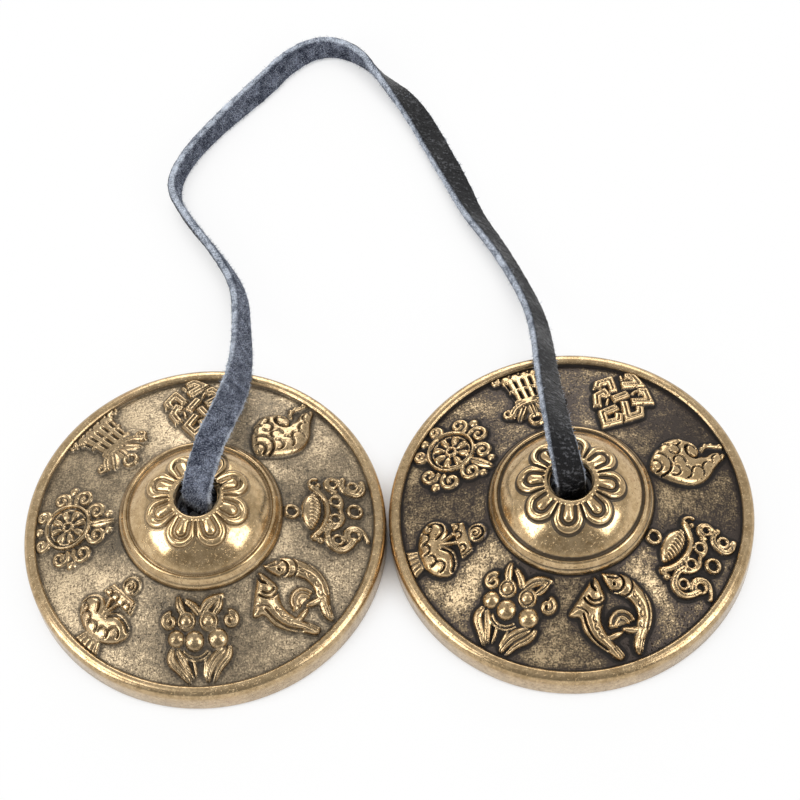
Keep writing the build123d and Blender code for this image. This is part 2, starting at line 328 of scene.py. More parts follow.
@dataclass(frozen=True)
class LeatherFinish:
    """Thin dyed leather: black grain, blue-grey suede flesh, pale cut edges."""

    grain: Colour = (0.005, 0.005, 0.006, 1.0)
    # Pale grey of the painted glints on the grain.
    grain_glint: Colour = (0.170, 0.172, 0.184, 1.0)
    flesh_dark: Colour = (0.014, 0.018, 0.034, 1.0)
    flesh_pale: Colour = (0.330, 0.365, 0.460, 1.0)
    cut_dark: Colour = (0.110, 0.130, 0.175, 1.0)
    cut_pale: Colour = (0.720, 0.780, 0.880, 1.0)
    fibre: Grit = Grit(4200.0, 4.0, 0.75)
    blotch: Grit = Grit(520.0, 4.0, 0.65)
    pebble: Grit = Grit(1800.0, 3.0, 0.6)
    sheen: Grit = Grit(105.0, 2.0, 0.5)
    crease: Point = (330.0, 2300.0, 600.0)
    crease_detail: float = 3.0
    bump: float = 0.30 * MM

    def material(self) -> bpy.types.Material:
        """Builds the node material.

        Returns:
            The material, which reads the strap's face layers.
        """
        paint = Paint(bpy.data.materials.new("strap_leather"))
        grain, cut = paint.layer("grain"), paint.layer("cut")
        fibre, blotch = paint.noise(self.fibre), paint.noise(self.blotch)
        pale = paint.step(fibre * 0.65 + blotch * 0.35, 0.42, 0.66)
        flesh = paint.mix(pale, self.flesh_dark, self.flesh_pale)
        pale = paint.step(fibre * 0.6 + blotch * 0.4, 0.40, 0.58)
        edge = paint.mix(pale, self.cut_dark, self.cut_pale)
        crease, pebble = paint.streaks(self.crease, self.crease_detail), paint.noise(self.pebble)
        sheen = paint.step(paint.noise(self.sheen), 0.38, 0.64)
        # Painted highlight: creases and pebble tops take a pale glint colour, stronger in patches
        # of painted sheen.
        worn = paint.step(crease * 0.4 + pebble * 0.6, 0.51, 0.64) * (sheen * 0.5 + 0.5)
        skin = paint.mix(worn, self.grain, self.grain_glint)
        colour = paint.mix(cut, paint.mix(grain, flesh, skin), edge)
        smooth = grain * (1 - cut)
        paint.bump(fibre * (1 - smooth) + (crease * 1.8 + pebble * 4.2) * smooth, self.bump)
        rough = 0.92 - smooth * (sheen * 0.30 + 0.32)
        return paint.dress(Base_Color=colour, Roughness=rough, Specular_IOR_Level=0.25)


def show(name: str, data: bpy.types.ID) -> bpy.types.Object:
    """Puts data into the scene as an object.

    Args:
        name: The object's name.
        data: What it shows.

    Returns:
        The new object.
    """
    shown = bpy.data.objects.new(name, data)
    bpy.context.collection.objects.link(shown)
    return shown


@dataclass(frozen=True)
class PhotoCamera:
    """The camera at the photograph's viewing angle, aimed near the frame's origin."""

    azimuth: float = math.radians(5.400)
    elevation: float = math.radians(64.143)
    distance: float = 0.48060
    yaw: float = math.radians(0.6014)
    pitch: float = math.radians(-2.8324)
    roll: float = math.radians(7.2673)
    lens: float = 120.0
    sensor: float = 36.0

    def place(self) -> None:
        """Adds the camera and makes it the scene's own."""
        level = math.cos(self.elevation)
        sideways, forwards = math.sin(self.azimuth) * level, math.cos(self.azimuth) * level
        back = Vector((sideways, -forwards, math.sin(self.elevation)))
        right = Vector((0, 0, 1)).cross(back).normalized()
        up = back.cross(right)
        facing = Matrix((right, up, back)).transposed()
        turn = Matrix.Rotation(self.roll, 3, "Z") @ Matrix.Rotation(self.pitch, 3, "X")
        turn = turn @ Matrix.Rotation(self.yaw, 3, "Y")
        data = bpy.data.cameras.new("photo_camera")
        data.lens = self.lens
        data.sensor_width = self.sensor
        camera = show("photo_camera", data)
        facing = (facing @ turn.transposed()).to_4x4()
        camera.matrix_world = Matrix.Translation(back * self.distance) @ facing
        bpy.context.scene.camera = camera


@dataclass(frozen=True)
class SoftBox:
    """A square studio lamp that faces the pair."""

    name: str
    place: Point
    size: float
    power: float
    aim: Point = (0.0, 0.02, 0.01)

    def hang(self) -> None:
        """Adds the lamp."""
        data = bpy.data.lights.new(self.name, "AREA")
        data.size = self.size
        data.energy = self.power
        lamp = show(self.name, data)
        lamp.location = self.place
        towards = Vector(self.aim) - Vector(self.place)
        lamp.rotation_euler = towards.to_track_quat("-Z", "Y").to_euler()


@dataclass
class Studio:
    """A white table in a pale tent: bright behind and at the sides, dim above the camera."""

    floor_half: float = 3.0
    floor_colour: Colour = (0.93, 0.93, 0.93, 1.0)
    floor_rough: float = 0.9
    glow_share: float = 0.92
    nook: float = 0.02
    nook_range: Pair = (0.10, 0.70)
    nook_samples: int = 12
    ambient: float = 0.26
    dim: float = 0.34
    wall: float = 0.50
    wall_range: Pair = (-0.80, 0.20)
    horizon_range: Pair = (0.12, 0.32)
    lamps: list[SoftBox] = field(default_factory=lambda: [
        SoftBox("left_box", (-0.63, -0.25, 0.43), 0.42, 2.8),
        SoftBox("right_box", (0.58, -0.27, 0.48), 0.42, 2.4),
        SoftBox("high_left_box", (-0.42, -0.02, 0.80), 0.30, 1.1),
        SoftBox("high_right_box", (0.44, -0.02, 0.80), 0.30, 1.1),
        SoftBox("back_box", (0.0, 0.75, 0.36), 0.55, 3.0),
    ])

    def floor_material(self) -> bpy.types.Material:
        """White card that keeps the pair's shadow, and the dark under it.

        Returns:
            The table's material.
        """
        paint = Paint(bpy.data.materials.new("white_table"))
        paint.dress(
            Base_Color=self.floor_colour, Roughness=self.floor_rough, Specular_IOR_Level=0.0,
        )
        glow = paint.node("ShaderNodeEmission", {}, {"Color": WHITE, "Strength": 1.0})
        card = Signal(paint, paint.shader.outputs["BSDF"])
        # The white glow fades where ambient occlusion finds the floor closed in, so it shows
        # painted contact shade near and under the pair.
        settings, inputs = {"samples": self.nook_samples}, {"Distance": self.nook}
        open_air = paint.node("ShaderNodeAmbientOcclusion", settings, inputs, "AO")
        share = paint.seen() * paint.step(open_air, *self.nook_range) * self.glow_share
        whole = paint.node("ShaderNodeMixShader", {}, {0: share, 1: card, 2: glow})
        paint.feed(paint.tree.nodes["Material Output"].inputs["Surface"], whole)
        return paint.owner

    def tent(self) -> bpy.types.World:
        """The air round the table, white at the horizon all round.

        Returns:
            The scene's world.
        """
        paint = Paint(bpy.data.worlds.new("studio_tent"))
        towards = paint.node("ShaderNodeTexCoord", output="Generated")
        back, up = (
            paint.node("ShaderNodeSeparateXYZ", {}, {0: towards}, axis) for axis in ("Y", "Z")
        )
        wall = paint.step(back * 0.75 - up * 0.25, *self.wall_range) * self.wall
        horizon = 1 - paint.step(up, *self.horizon_range)
        shown = self.dim + wall.highest(horizon) * (1.0 - self.dim)
        seen = paint.seen()
        return paint.dress(Color=WHITE, Strength=seen * shown + (1 - seen) * self.ambient)

    def build(self) -> None:
        """Adds the floor, the tent and the lamps."""
        half = self.floor_half
        corners = [(-half, -half, 0.0), (half, -half, 0.0), (half, half, 0.0), (-half, half, 0.0)]
        mesh = bpy.data.meshes.new("table")
        mesh.from_pydata(corners, [], [(0, 1, 2, 3)])
        mesh.materials.append(self.floor_material())
        show("table", mesh)
        bpy.context.scene.world = self.tent()
        for lamp in self.lamps:
            lamp.hang()
        LOG.info("studio: %d lamps", len(self.lamps))


def mesh_piece(
    name: str,
    points: np.ndarray,
    faces: Sequence[Sequence[int]],
    material: bpy.types.Material,
    layers: Mapping[str, np.ndarray],
) -> bpy.types.Object:
    """Makes a smooth mesh object at the origin.

    Args:
        name: The piece's name.
        points: Places in metres, one row each.
        faces: Corner numbers of each face, outward.
        material: Its finish.
        layers: Numbers carried at each point, by name.

    Returns:
        The new object.
    """
    mesh = bpy.data.meshes.new(name)
    mesh.from_pydata(points.tolist(), [], faces)
    mesh.shade_smooth()
    for key, values in layers.items():
        attribute = mesh.attributes.new(key, "FLOAT", "POINT")
        attribute.data.foreach_set("value", np.asarray(values, np.float32))
    mesh.materials.append(material)
    return show(name, mesh)


def unit(rows: np.ndarray) -> np.ndarray:
    """Rows scaled to length one."""
    return rows / np.linalg.norm(rows, axis=-1, keepdims=True)


def spline_points(controls: np.ndarray, fineness: int) -> np.ndarray:
    """Reads points along a smooth NURBS line.

    Args:
        controls: Its control points, in metres.
        fineness: Points for each control span.

    Returns:
        The points in order, one row each.
    """
    curve = bpy.data.curves.new("line", "CURVE")
    curve.dimensions = "3D"
    spline = curve.splines.new("NURBS")
    spline.points.add(len(controls) - 1)
    for control, place in zip(spline.points, controls):
        control.co = (*place, 1.0)
    spline.order_u = 3
    spline.use_endpoint_u = True
    spline.resolution_u = fineness
    carrier = bpy.data.objects.new("line", curve)
    mesh = bpy.data.meshes.new_from_object(carrier)
    points = np.array([vertex.co for vertex in mesh.vertices])
    bpy.data.meshes.remove(mesh)
    bpy.data.objects.remove(carrier)
    bpy.data.curves.remove(curve)
    return points


def loft(rings: np.ndarray) -> list[list[int]]:
    """Quads between closed rings, with one face as a cap at each end.

    Args:
        rings: Points as rings by corners by three.

    Returns:
        The faces, outward for rings that run anticlockwise seen from ahead.
    """
    count, corners = rings.shape[:2]
    numbers = np.arange(count * corners).reshape(count, corners)
    beside = np.roll(numbers, -1, axis=1)
    quads = np.stack([numbers[:-1], beside[:-1], beside[1:], numbers[1:]], -1).reshape(-1, 4)
    return quads.tolist() + [numbers[0, ::-1].tolist(), numbers[-1].tolist()]


def arc(centre: Pair, radius: float, start: float, end: float, steps: int = 14) -> list[Pair]:
    """Points on a circular arc.

    Args:
        centre: Its centre.
        radius: Its radius.
        start: First angle, in degrees.
        end: Last angle, in degrees.
        steps: How many points.

    Returns:
        The points in order.
    """
    angles = np.radians(np.linspace(start, end, steps))
    return [(centre[0] + radius * math.cos(a), centre[1] + radius * math.sin(a)) for a in angles]


def curl(centre: Pair, radius: float, start: float, turns: float, steps: int = 26) -> list[Pair]:
    """Points on a spiral that winds in to its centre.

    Args:
        centre: Where it winds in to.
        radius: Its outer radius.
        start: The angle where it starts, in degrees.
        turns: How far it winds; negative winds clockwise.
        steps: How many points.

    Returns:
        The points from outside in.
    """
    inwards = 0.78
    shares = np.linspace(0.0, 1.0, steps)
    angles = np.radians(start + 360.0 * turns * shares)
    radii = radius * (1.0 - inwards * shares)
    x, y = centre
    return [(x + r * math.cos(a), y + r * math.sin(a)) for r, a in zip(radii, angles)]


def flow(points: Sequence[Pair], closed: bool = False, rounds: int = 2) -> list[Pair]:
    """Rounds the corners of a drawn line by cutting them.

    Args:
        points: The line's corners.
        closed: Whether it is an outline.
        rounds: How often the corners are cut.

    Returns:
        The rounded line.
    """
    line = [np.array(point) for point in points]
    for _ in range(rounds):
        following = line[1:] + line[:1] if closed else line[1:]
        cut = [] if closed else [line[0]]
        for a, b in zip(line, following):
            cut += [0.75 * a + 0.25 * b, 0.25 * a + 0.75 * b]
        line = cut if closed else cut + [line[-1]]
    return [tuple(point) for point in line]


class Carving:
    """Cast relief over a grid of places, in millimetres."""

    EDGE_SHARE, CROWN_SHARE, CROWN_REACH = 0.54, 0.46, 2.6
    OVERHANG = 0.7
    RIB, SEAM, SLAB_SEAM = (0.35, 0.35), (0.34, 0.34), (0.36, 0.40)
    TINY = 1e-9

    def __init__(self, x: np.ndarray, y: np.ndarray) -> None:
        """Starts from flat ground.

        Args:
            x: Places to the right.
            y: Places upwards.
        """
        self.x = x
        self.y = y
        self.height = np.zeros_like(x)

    def reach(self, points: Sequence[Pair], halves: Sequence[float] | None = None) -> np.ndarray:
        """Distance to a line, less its own half width.

        Args:
            points: The line's corners.
            halves: Its half width at each corner, or none.

        Returns:
            The distance at each place.
        """
        best = np.full(self.x.shape, np.inf)
        halves = halves if halves is not None else [0.0] * len(points)
        for (ax, ay), (bx, by), wa, wb in zip(points, points[1:], halves, halves[1:]):
            run = (bx - ax) ** 2 + (by - ay) ** 2 + self.TINY
            along = (self.x - ax) * (bx - ax) + (self.y - ay) * (by - ay)
            share = np.clip(along / run, 0.0, 1.0)
            away = np.hypot(self.x - ax - share * (bx - ax), self.y - ay - share * (by - ay))
            best = np.minimum(best, away - wa - share * (wb - wa))
        return best

    def inside(self, outline: Sequence[Pair]) -> np.ndarray:
        """Signed distance to an outline.

        Args:
            outline: The outline's corners.

        Returns:
            The distance at each place, negative within the outline.
        """
        closed = list(outline) + [outline[0]]
        odd = np.zeros(self.x.shape, bool)
        for (ax, ay), (bx, by) in zip(closed, closed[1:]):
            spans = (ay > self.y) != (by > self.y)
            rise = by - ay if abs(by - ay) > self.TINY else self.TINY
            odd ^= spans & (self.x < (bx - ax) * (self.y - ay) / rise + ax)
        return np.where(odd, -1.0, 1.0) * self.reach(closed)

    def swell(self, distance: np.ndarray, height: float, shoulder: float) -> None:
        """Raises the ground where a distance is negative, with a rounded shoulder.

        Args:
            distance: The distance at each place.
            height: How high the ground gets.
            shoulder: How far in from its edge the shoulder reaches.
        """
        within = -distance / shoulder
        edge = 1.0 - np.clip(within, 0.0, 1.0)
        crown = 1.0 - np.clip(within / self.CROWN_REACH, 0.0, 1.0)
        profile = self.EDGE_SHARE * np.sqrt(1.0 - edge**2)
        profile = profile + self.CROWN_SHARE * np.sqrt(1.0 - crown**2)
        self.height = np.maximum(self.height, height * profile)

    def cut(self, points: Sequence[Pair], width: float, depth: float = 0.35) -> None:
        """Cuts a rounded groove along a line.

        Args:
            points: The line's corners.
            width: The groove's width.
            depth: The groove's depth.
        """
        share = np.clip(self.reach(points) / (width / 2), 0.0, 1.0)
        lowered = self.height - depth * (1.0 - share * share * (3.0 - 2.0 * share))
        self.height = np.minimum(self.height, np.maximum(lowered, 0.0))

    def band(
        self, points: Sequence[Pair], width: float, height: float = 0.55, shoulder: float = 0.4,
    ) -> None:
        """Raises a rounded band along a line."""
        self.swell(self.reach(points) - width / 2, height, min(shoulder, width / 2))

    def patch(self, outline: Sequence[Pair], height: float, shoulder: float = 0.5) -> None:
        """Raises the ground within an outline."""
        self.swell(self.inside(outline), height, shoulder)

    def pearl(self, centre: Pair, radius: float, height: float) -> None:
        """Raises a round bead."""
        away = np.hypot(self.x - centre[0], self.y - centre[1])
        self.swell(away - radius, height, radius)

    def leaf(
        self, spine: Sequence[Pair], width: float, height: float = 0.6, rib: bool = True,
    ) -> None:
        """Raises a pointed leaf along its spine.

        Args:
            spine: The leaf's middle line.
            width: The leaf's greatest width.
            height: The leaf's height.
            rib: Whether a groove runs along its spine.
        """
        line = flow(spine, rounds=3)
        shares = np.linspace(0.0, 1.0, len(line))
        halves = width / 2 * np.sin(np.pi * shares**0.8) ** 0.8
        self.swell(self.reach(line, list(halves)), height, width / 2)
        if rib:
            self.cut(line, *self.RIB)

    def double(self, points: Sequence[Pair], width: float, height: float = 0.62) -> None:
        """Raises a band with a groove along its middle."""
        self.band(points, width, height, 0.35)
        self.cut(points, *self.SEAM)

    def slab(self, points: Sequence[Pair], width: float, height: float = 0.66) -> None:
        """Raises a flat grooved band with square ends and mitred corners.

        Args:
            points: The band's middle line.
            width: The band's width.
            height: The band's height.
        """
        half = width / 2
        spots = np.asarray(points, dtype=float)
        runs = np.diff(spots, axis=0)
        lengths = np.hypot(*runs.T)
        ways = runs / lengths[:, None]
        nearest = np.full_like(self.x, np.inf)
        for number, (way, length) in enumerate(zip(ways, lengths)):
            x, y = self.x - spots[number, 0], self.y - spots[number, 1]
            along, across = x * way[0] + y * way[1], y * way[0] - x * way[1]
            distance = np.abs(across) - half
            for step, past in ((-1, -along), (1, along - length)):
                other = number + step
                if 0 <= other < len(ways):
                    mitre = step * (ways[other] + way)
                    corner = spots[max(number, other)]
                    beyond = (self.x - corner[0]) * mitre[0] + (self.y - corner[1]) * mitre[1]
                    distance = np.where(beyond > 0.0, np.inf, distance)
                else:
                    distance = np.maximum(distance, past - half * self.OVERHANG)
            nearest = np.minimum(nearest, distance)
        self.swell(nearest, height, 0.3)
        self.cut(points, *self.SLAB_SEAM)

    def hoop(self, centre: Pair, radius: float, width: float, height: float = 0.65) -> None:
        """Raises an open ring."""
        self.band(arc(centre, radius, 0.0, 360.0, 24), width, height)


class LuckySymbols(Carving):
    """The eight lucky symbols, each drawn upright with the dome above it."""

    def endless_knot(self) -> None:
        """Woven double bands with hooked ends."""
        bands = (
            [(0.15, 3.2), (-0.35, 4.3), (1.3, 6.3), (2.9, 4.3), (1.5, 1.9)],
            [(-2.3, -0.4), (-2.85, 0.7), (-1.45, 2.8), (0.6, 0.0)],
            [(-0.65, -1.35), (-2.9, -3.05), (-1.2, -4.75), (-0.6, -4.3)],
            [(2.6, -0.2), (1.35, -2.2)],
            [(4.55, 2.8), (5.6, 0.95), (4.95, -0.6), (4.3, -0.2)],
            [(3.85, -2.1), (5.4, -3.95), (6.8, -2.0), (6.5, -1.2)],
            [(2.65, -4.1), (0.4, -5.85), (2.15, -6.85), (3.1, -6.3)],
        )
        for band in bands:
            self.slab(band, 1.75)
        stubs = [(0.5, -3.1), (0.2, -4.1)], [(3.3, 1.6), (3.6, 0.5)], [(3.6, -5.2), (4.2, -5.9)]
        for stub in stubs:
            self.band(stub, 0.8, 0.5)

    def conch(self) -> None:
        """A coiled shell with a scaled body, a hook and a beaded ridge."""
        body = [
            (1.0, 7.7), (0.0, 6.9), (-1.1, 5.6), (-2.0, 4.2), (-2.7, 2.7), (-3.1, 1.2),
            (-3.0, -0.4), (-2.4, -1.9), (-1.5, -3.2), (-0.2, -4.4), (0.9, -5.8), (1.8, -7.3),
            (2.7, -7.0), (3.1, -5.5), (2.9, -4.4), (2.4, -3.2), (2.7, -2.4), (3.8, -2.7),
            (4.9, -2.5), (5.9, -1.7), (6.5, -0.7), (7.1, 0.6), (6.9, 2.0), (6.4, 3.4),
            (5.3, 4.9), (4.0, 6.2), (2.5, 7.2),
        ]
        self.patch(flow(body, True), 0.86, 1.2)
        hook = [
            (3.3, -3.0), (2.45, -2.1), (2.05, -1.1), (2.55, -0.3), (3.6, 0.15), (4.7, -0.15),
            (5.15, -0.95), (4.8, -1.7), (4.15, -1.85),
        ]
        self.cut(flow(hook), 0.75, 0.9)
        self.pearl((3.7, -1.0), 0.85, 0.85)
        self.cut(arc((1.55, 6.6), 1.15, 180.0, 350.0), 0.55, 0.6)
        self.cut(arc((1.85, 5.95), 2.27, 182.0, 340.0), 0.60, 0.65)
        self.pearl((1.5, 6.8), 0.6, 0.95)
        scales = (
            ((0.15, 3.45), 1.0, 140.0, 330.0), ((1.9, 2.0), 1.05, -115.0, 95.0),
            ((4.35, 2.1), 1.0, 95.0, 320.0), ((4.9, 3.6), 0.95, -70.0, 110.0),
            ((6.1, 1.3), 0.9, 150.0, 290.0), ((-0.4, 1.8), 1.25, 190.0, 325.0),
            ((-0.75, -0.65), 1.15, -130.0, 75.0), ((-0.2, -3.1), 1.3, -40.0, 85.0),
            ((1.3, -5.3), 1.15, 0.0, 105.0), ((1.9, -6.7), 0.75, 10.0, 105.0),
        )
        for scale in scales:
            self.cut(arc(*scale), 0.50, 0.50)
        ridge = flow([(3.7, -3.1), (4.4, -3.8), (4.6, -4.6), (4.3, -5.6), (4.0, -7.0)])
        self.band(ridge, 0.95, 0.55)
        for x, y in ridge[2::5]:
            self.pearl((x + 0.3, y), 0.42, 0.66)

    def parasol(self) -> None:
        """A canopy on a curved rib, with scrolling ribbons."""
        self.hoop((0.1, 6.6), 1.1, 0.85)
        canopy = [
            (-3.5, 3.1), (-1.9, 4.5), (0.0, 5.1), (2.1, 4.9), (3.6, 4.0), (4.5, 2.9),
            (3.4, 1.8), (1.7, 1.3), (0.0, 1.4), (-1.8, 1.9),
        ]
        self.patch(flow(canopy, True), 0.88, 1.1)
        for step in range(9):
            self.cut([(0.72 * step - 2.6, 1.9), (0.72 * step - 2.1, 3.4)], 0.34, 0.34)
        rib = flow([
            (-4.3, 2.8), (-2.8, 1.4), (-1.0, 0.6), (0.9, 0.3), (3.0, 0.7), (4.3, 1.9), (5.3, 3.1),
        ])
        self.cut(rib, 2.1, 0.9)
        self.band(rib, 1.3, 0.9, 0.6)
        self.cut([(x + 0.05, y - 0.3) for x, y in rib], 0.26, 0.26)
        self.pearl((-4.3, 2.6), 0.85, 0.85)
        self.pearl((-4.8, 1.6), 0.75, 0.7)
        self.band(arc((6.0, 2.5), 1.1, 205.0, -10.0), 0.7, 0.7)
        self.pearl((5.95, 2.0), 0.6, 0.65)
        swag = [
            (-2.4, -0.6), (-1.5, -1.9), (0.0, -2.5), (1.4, -1.7), (2.5, -2.2), (3.9, -1.9),
            (4.7, -0.6),
        ]
        self.band(flow(swag), 0.95, 0.6)
        self.hoop((-0.5, -1.0), 0.9, 0.7)
        self.hoop((3.0, -1.0), 0.9, 0.7)
        scroll = [
            (-1.9, -0.2), (-3.2, 0.5), (-5.1, 0.3), (-6.2, -0.9), (-6.3, -2.3), (-5.3, -3.5),
            (-4.2, -4.2),
        ]
        self.double(flow(scroll), 1.3, 0.72)
        self.hoop((-4.4, -1.4), 0.85, 0.7)
        tail = [(-4.4, -2.9), (-2.8, -2.5), (-1.6, -3.8), (-1.9, -5.3), (-3.1, -6.2), (-4.2, -6.6)]
        self.band(flow(tail), 0.9, 0.66)
        self.hoop((-3.3, -4.25), 0.95, 0.75)
        self.hoop((1.4, -4.35), 1.15, 0.8, 0.75)
        loop = [(5.0, -1.1), (5.2, 0.4), (6.6, 1.0), (7.7, -0.1), (7.3, -1.6)]
        self.band(flow(loop), 0.85, 0.66)
        self.hoop((6.5, -0.5), 0.8, 0.65)
        hook = [
            (7.6, -2.3), (6.4, -1.9), (5.2, -2.6), (4.7, -3.9), (4.8, -5.2), (6.0, -5.9),
            (7.3, -5.6),
        ]
        self.double(flow(hook), 1.2)
        self.hoop((6.3, -4.0), 0.85, 0.7)

    def fish_pair(self) -> None:
        """Two carp side by side, nose to nose, round a wave."""
        left = [
            (-0.9, 7.5), (-2.3, 6.4), (-3.9, 5.3), (-5.6, 3.9), (-7.5, 2.6), (-6.4, 1.7),
            (-5.4, 1.6), (-5.6, -0.4), (-5.2, -1.8), (-4.1, -3.5), (-2.7, -5.0), (-1.3, -7.2),
            (0.4, -6.8), (-0.1, -5.2), (-1.1, -3.7), (-1.6, -2.4), (-2.0, -0.8), (-1.9, 0.5),
            (-1.1, 2.0), (0.0, 3.4), (-0.1, 4.8), (-0.3, 6.4),
        ]
        right = [
            (0.3, 7.7), (1.5, 7.1), (3.0, 6.8), (4.4, 6.2), (5.5, 5.0), (6.3, 3.6), (7.2, 1.7),
            (7.3, 0.0), (6.9, -1.7), (5.9, -3.3), (4.3, -4.9), (3.5, -6.5), (2.5, -7.3),
            (1.8, -6.0), (2.1, -4.5), (3.0, -3.2), (3.6, -1.9), (4.2, -1.0), (4.3, 0.4),
            (3.8, 1.9), (2.6, 3.0), (1.1, 4.0), (0.6, 5.3), (0.3, 6.5),
        ]
        for outline in (left, right):
            self.patch(flow(outline, True), 0.98, 1.3)
        self.cut(flow([(-1.4, 6.8), (-1.9, 5.9), (-1.5, 5.1)]), 0.7, 0.8)
        for radius in (1.3, 2.1):
            self.cut(arc((-1.6, 4.7), radius, 188.0, 300.0), 0.55, 0.65)
        self.pearl((-1.2, 4.5), 0.5, 1.0)
        self.cut(flow([(-4.6, 2.0), (-4.65, -0.6), (-3.9, -2.9), (-2.4, -4.7)]), 0.6, 0.55)
        self.cut(flow([(-5.2, 3.3), (-4.2, 2.7), (-3.8, 1.8)]), 0.4, 0.4)
        self.leaf([(-2.0, -3.0), (-0.5, -2.9), (1.0, -2.7)], 1.3, 0.8, False)
        self.cut([(1.9, 5.25), (1.9, 5.15)], 0.7, 0.8)
        self.cut(flow([(1.2, 6.6), (2.2, 6.1), (3.0, 6.1)]), 0.5, 0.6)
        self.cut(arc((2.2, 5.4), 1.45, 55.0, -115.0), 0.60, 0.70)
        self.cut(arc((2.7, 5.0), 2.35, 50.0, -115.0), 0.50, 0.60)
        self.cut(flow([(6.5, 2.6), (6.5, 0.2), (6.1, -1.6), (5.2, -3.2)]), 0.45, 0.42)
        self.leaf([(3.7, -2.9), (2.4, -2.8), (1.1, -2.1)], 1.4, 0.8, False)
        tails = (
            [(-1.4, -4.7), (-0.7, -6.6)], [(-1.0, -4.5), (-0.1, -6.4)],
            [(3.4, -4.6), (2.4, -6.6)], [(4.1, -4.6), (2.9, -6.7)],
        )
        for ray in tails:
            self.cut(ray, 0.32, 0.34)
        scales = (
            (-2.8, 0.6), (-2.9, -0.6), (-2.6, -1.9), (5.0, 2.6), (5.4, 1.0), (5.3, -0.8),
            (4.6, -2.4),
        )
        for spot in scales:
            self.cut(arc(spot, 0.5, 120.0, 260.0), 0.34, 0.30)
        wave = [(-1.5, -1.9), (-0.9, 0.2), (1.2, 1.1), (3.1, 0.3), (3.7, -1.6), (1.4, -1.7)]
        self.patch(flow(wave, True), 0.35, 0.3)
        self.band(arc((1.3, -1.3), 2.05, 170.0, 5.0, 18), 0.75, 0.75)
        self.band(arc((1.3, -1.4), 1.1, 185.0, 0.0), 0.75, 0.7)

    def lotus(self) -> None:
        """A spray of berries and leaves."""
        bed = [
            (-6.0, 3.2), (-4.5, 4.3), (-1.5, 4.6), (1.0, 4.6), (4.6, 4.3), (6.2, 3.2), (5.0, 1.0),
            (4.4, -1.2), (1.4, -2.6), (-2.6, -2.6), (-5.6, -1.0), (-5.3, 1.2),
        ]
        self.patch(flow(bed, True), 0.16, 0.5)
        leaves = (
            ([(-2.9, 4.3), (-3.6, 5.5), (-3.7, 7.1)], 1.7),
            ([(-0.3, 4.1), (-1.0, 5.4), (-2.7, 6.5)], 1.6),
            ([(0.3, 4.2), (1.5, 6.1), (4.3, 7.1)], 2.0),
            ([(2.6, 4.2), (3.3, 5.2), (3.7, 6.6)], 1.5),
            ([(-5.0, -1.5), (-5.4, -3.3), (-3.7, -5.0), (-1.9, -7.3)], 1.9),
            ([(-4.1, -1.7), (-3.0, -3.6), (-1.5, -6.7)], 1.5),
            ([(5.1, -1.2), (4.8, -3.0), (3.1, -4.8), (2.1, -7.2)], 1.5),
            ([(4.0, -1.6), (2.3, -3.3), (1.4, -4.8), (1.0, -7.1)], 2.2),
        )
        for spine, width in leaves:
            self.leaf(spine, width, 0.75)
        for side in (-1.0, 1.0):
            stem = [(side * 1.1 - 0.3, -3.3), (side * 0.8 - 0.2, -4.8), (side * 0.7 - 0.2, -6.4)]
            self.leaf(stem, 0.8, 0.5, False)
        for x, turns in ((-5.3, 1.25), (5.2, -1.25)):
            self.band(curl((x, 3.1), 1.4, 90.0, turns), 1.0, 0.7)
        ringed = (((-2.4, 2.95), 1.75), ((1.45, 2.85), 1.8))
        plain = (((-4.25, 0.2), 1.6), ((-1.1, -0.3), 1.85), ((3.0, 0.0), 1.85))
        for centre, radius in ringed + plain:
            self.pearl(centre, radius, 1.0)
        for centre, radius in ringed:
            self.cut(arc(centre, radius * 0.62, 0.0, 360.0, 22), 0.42, 0.34)
        for radius in (2.45, 3.05):
            self.band(arc((-0.9, -0.5), radius, 215.0, 325.0), 0.5, 0.5)

    def vase(self) -> None:
        """A treasure vase with a jewel at its mouth."""
        self.pearl((0.55, 5.0), 1.85, 0.7)
        self.cut(arc((0.55, 5.0), 1.15, -25.0, 215.0, 18), 0.55, 0.6)
        self.cut(curl((0.6, 4.8), 0.7, 90.0, -0.9), 0.40, 0.5)
        self.patch([(-2.3, 3.55), (3.3, 3.55), (4.1, 1.2), (-3.2, 1.2)], 0.66, 0.45)
        for x in (-1.9, -0.35, 2.25):
            self.cut(arc((x, 1.9), 0.65, -20.0, 200.0), 0.45, 0.55)
        self.cut([(3.0, 3.4), (3.6, 1.5)], 0.36, 0.45)
        bowl = [
            (-1.9, 0.6), (-3.3, 0.5), (-4.5, -0.2), (-5.2, -1.7), (-5.0, -2.9), (-3.9, -4.2),
            (-2.1, -5.3), (0.0, -5.8), (2.6, -5.6), (4.4, -4.6), (5.7, -3.1), (6.1, -1.5),
            (5.1, -0.1), (3.5, 0.5), (1.8, 0.4), (0.8, -0.3), (0.0, -0.6), (-0.9, -0.1),
        ]
        self.patch(flow(bowl, True), 0.98, 1.9)
        folds = (
            [(-3.9, -2.5), (-4.5, -1.3), (-3.8, -0.3), (-2.4, -0.1), (-1.6, -0.9), (-1.2, -1.7)],
            [(5.3, -1.0), (4.2, -0.2), (2.2, 0.0), (1.4, -0.7), (0.8, -1.4)],
        )
        for fold in folds:
            self.cut(flow(fold), 0.6, 0.65)
        ties = [(-0.9, 1.2), (-0.5, 0.0), (-0.2, -1.4)], [(0.8, 1.2), (0.4, 0.0), (-0.1, -1.4)]
        for tie in ties:
            self.band(flow(tie), 0.75, 0.9)
        for centre in ((-3.7, -2.8), (-2.3, -3.7), (-0.2, -4.2), (2.1, -3.8), (3.7, -2.7)):
            self.cut(arc(centre, 0.95, -15.0, 190.0), 0.50, 0.55)
        self.patch([(-0.9, -5.5), (2.7, -5.3), (4.0, -7.9), (-1.9, -7.9)], 0.6, 0.4)
        for top, foot in ((-0.3, -1.1), (0.4, 0.1), (1.2, 1.3), (2.0, 2.6)):
            self.cut([(top, -5.8), (foot, -7.8)], 0.34, 0.34)

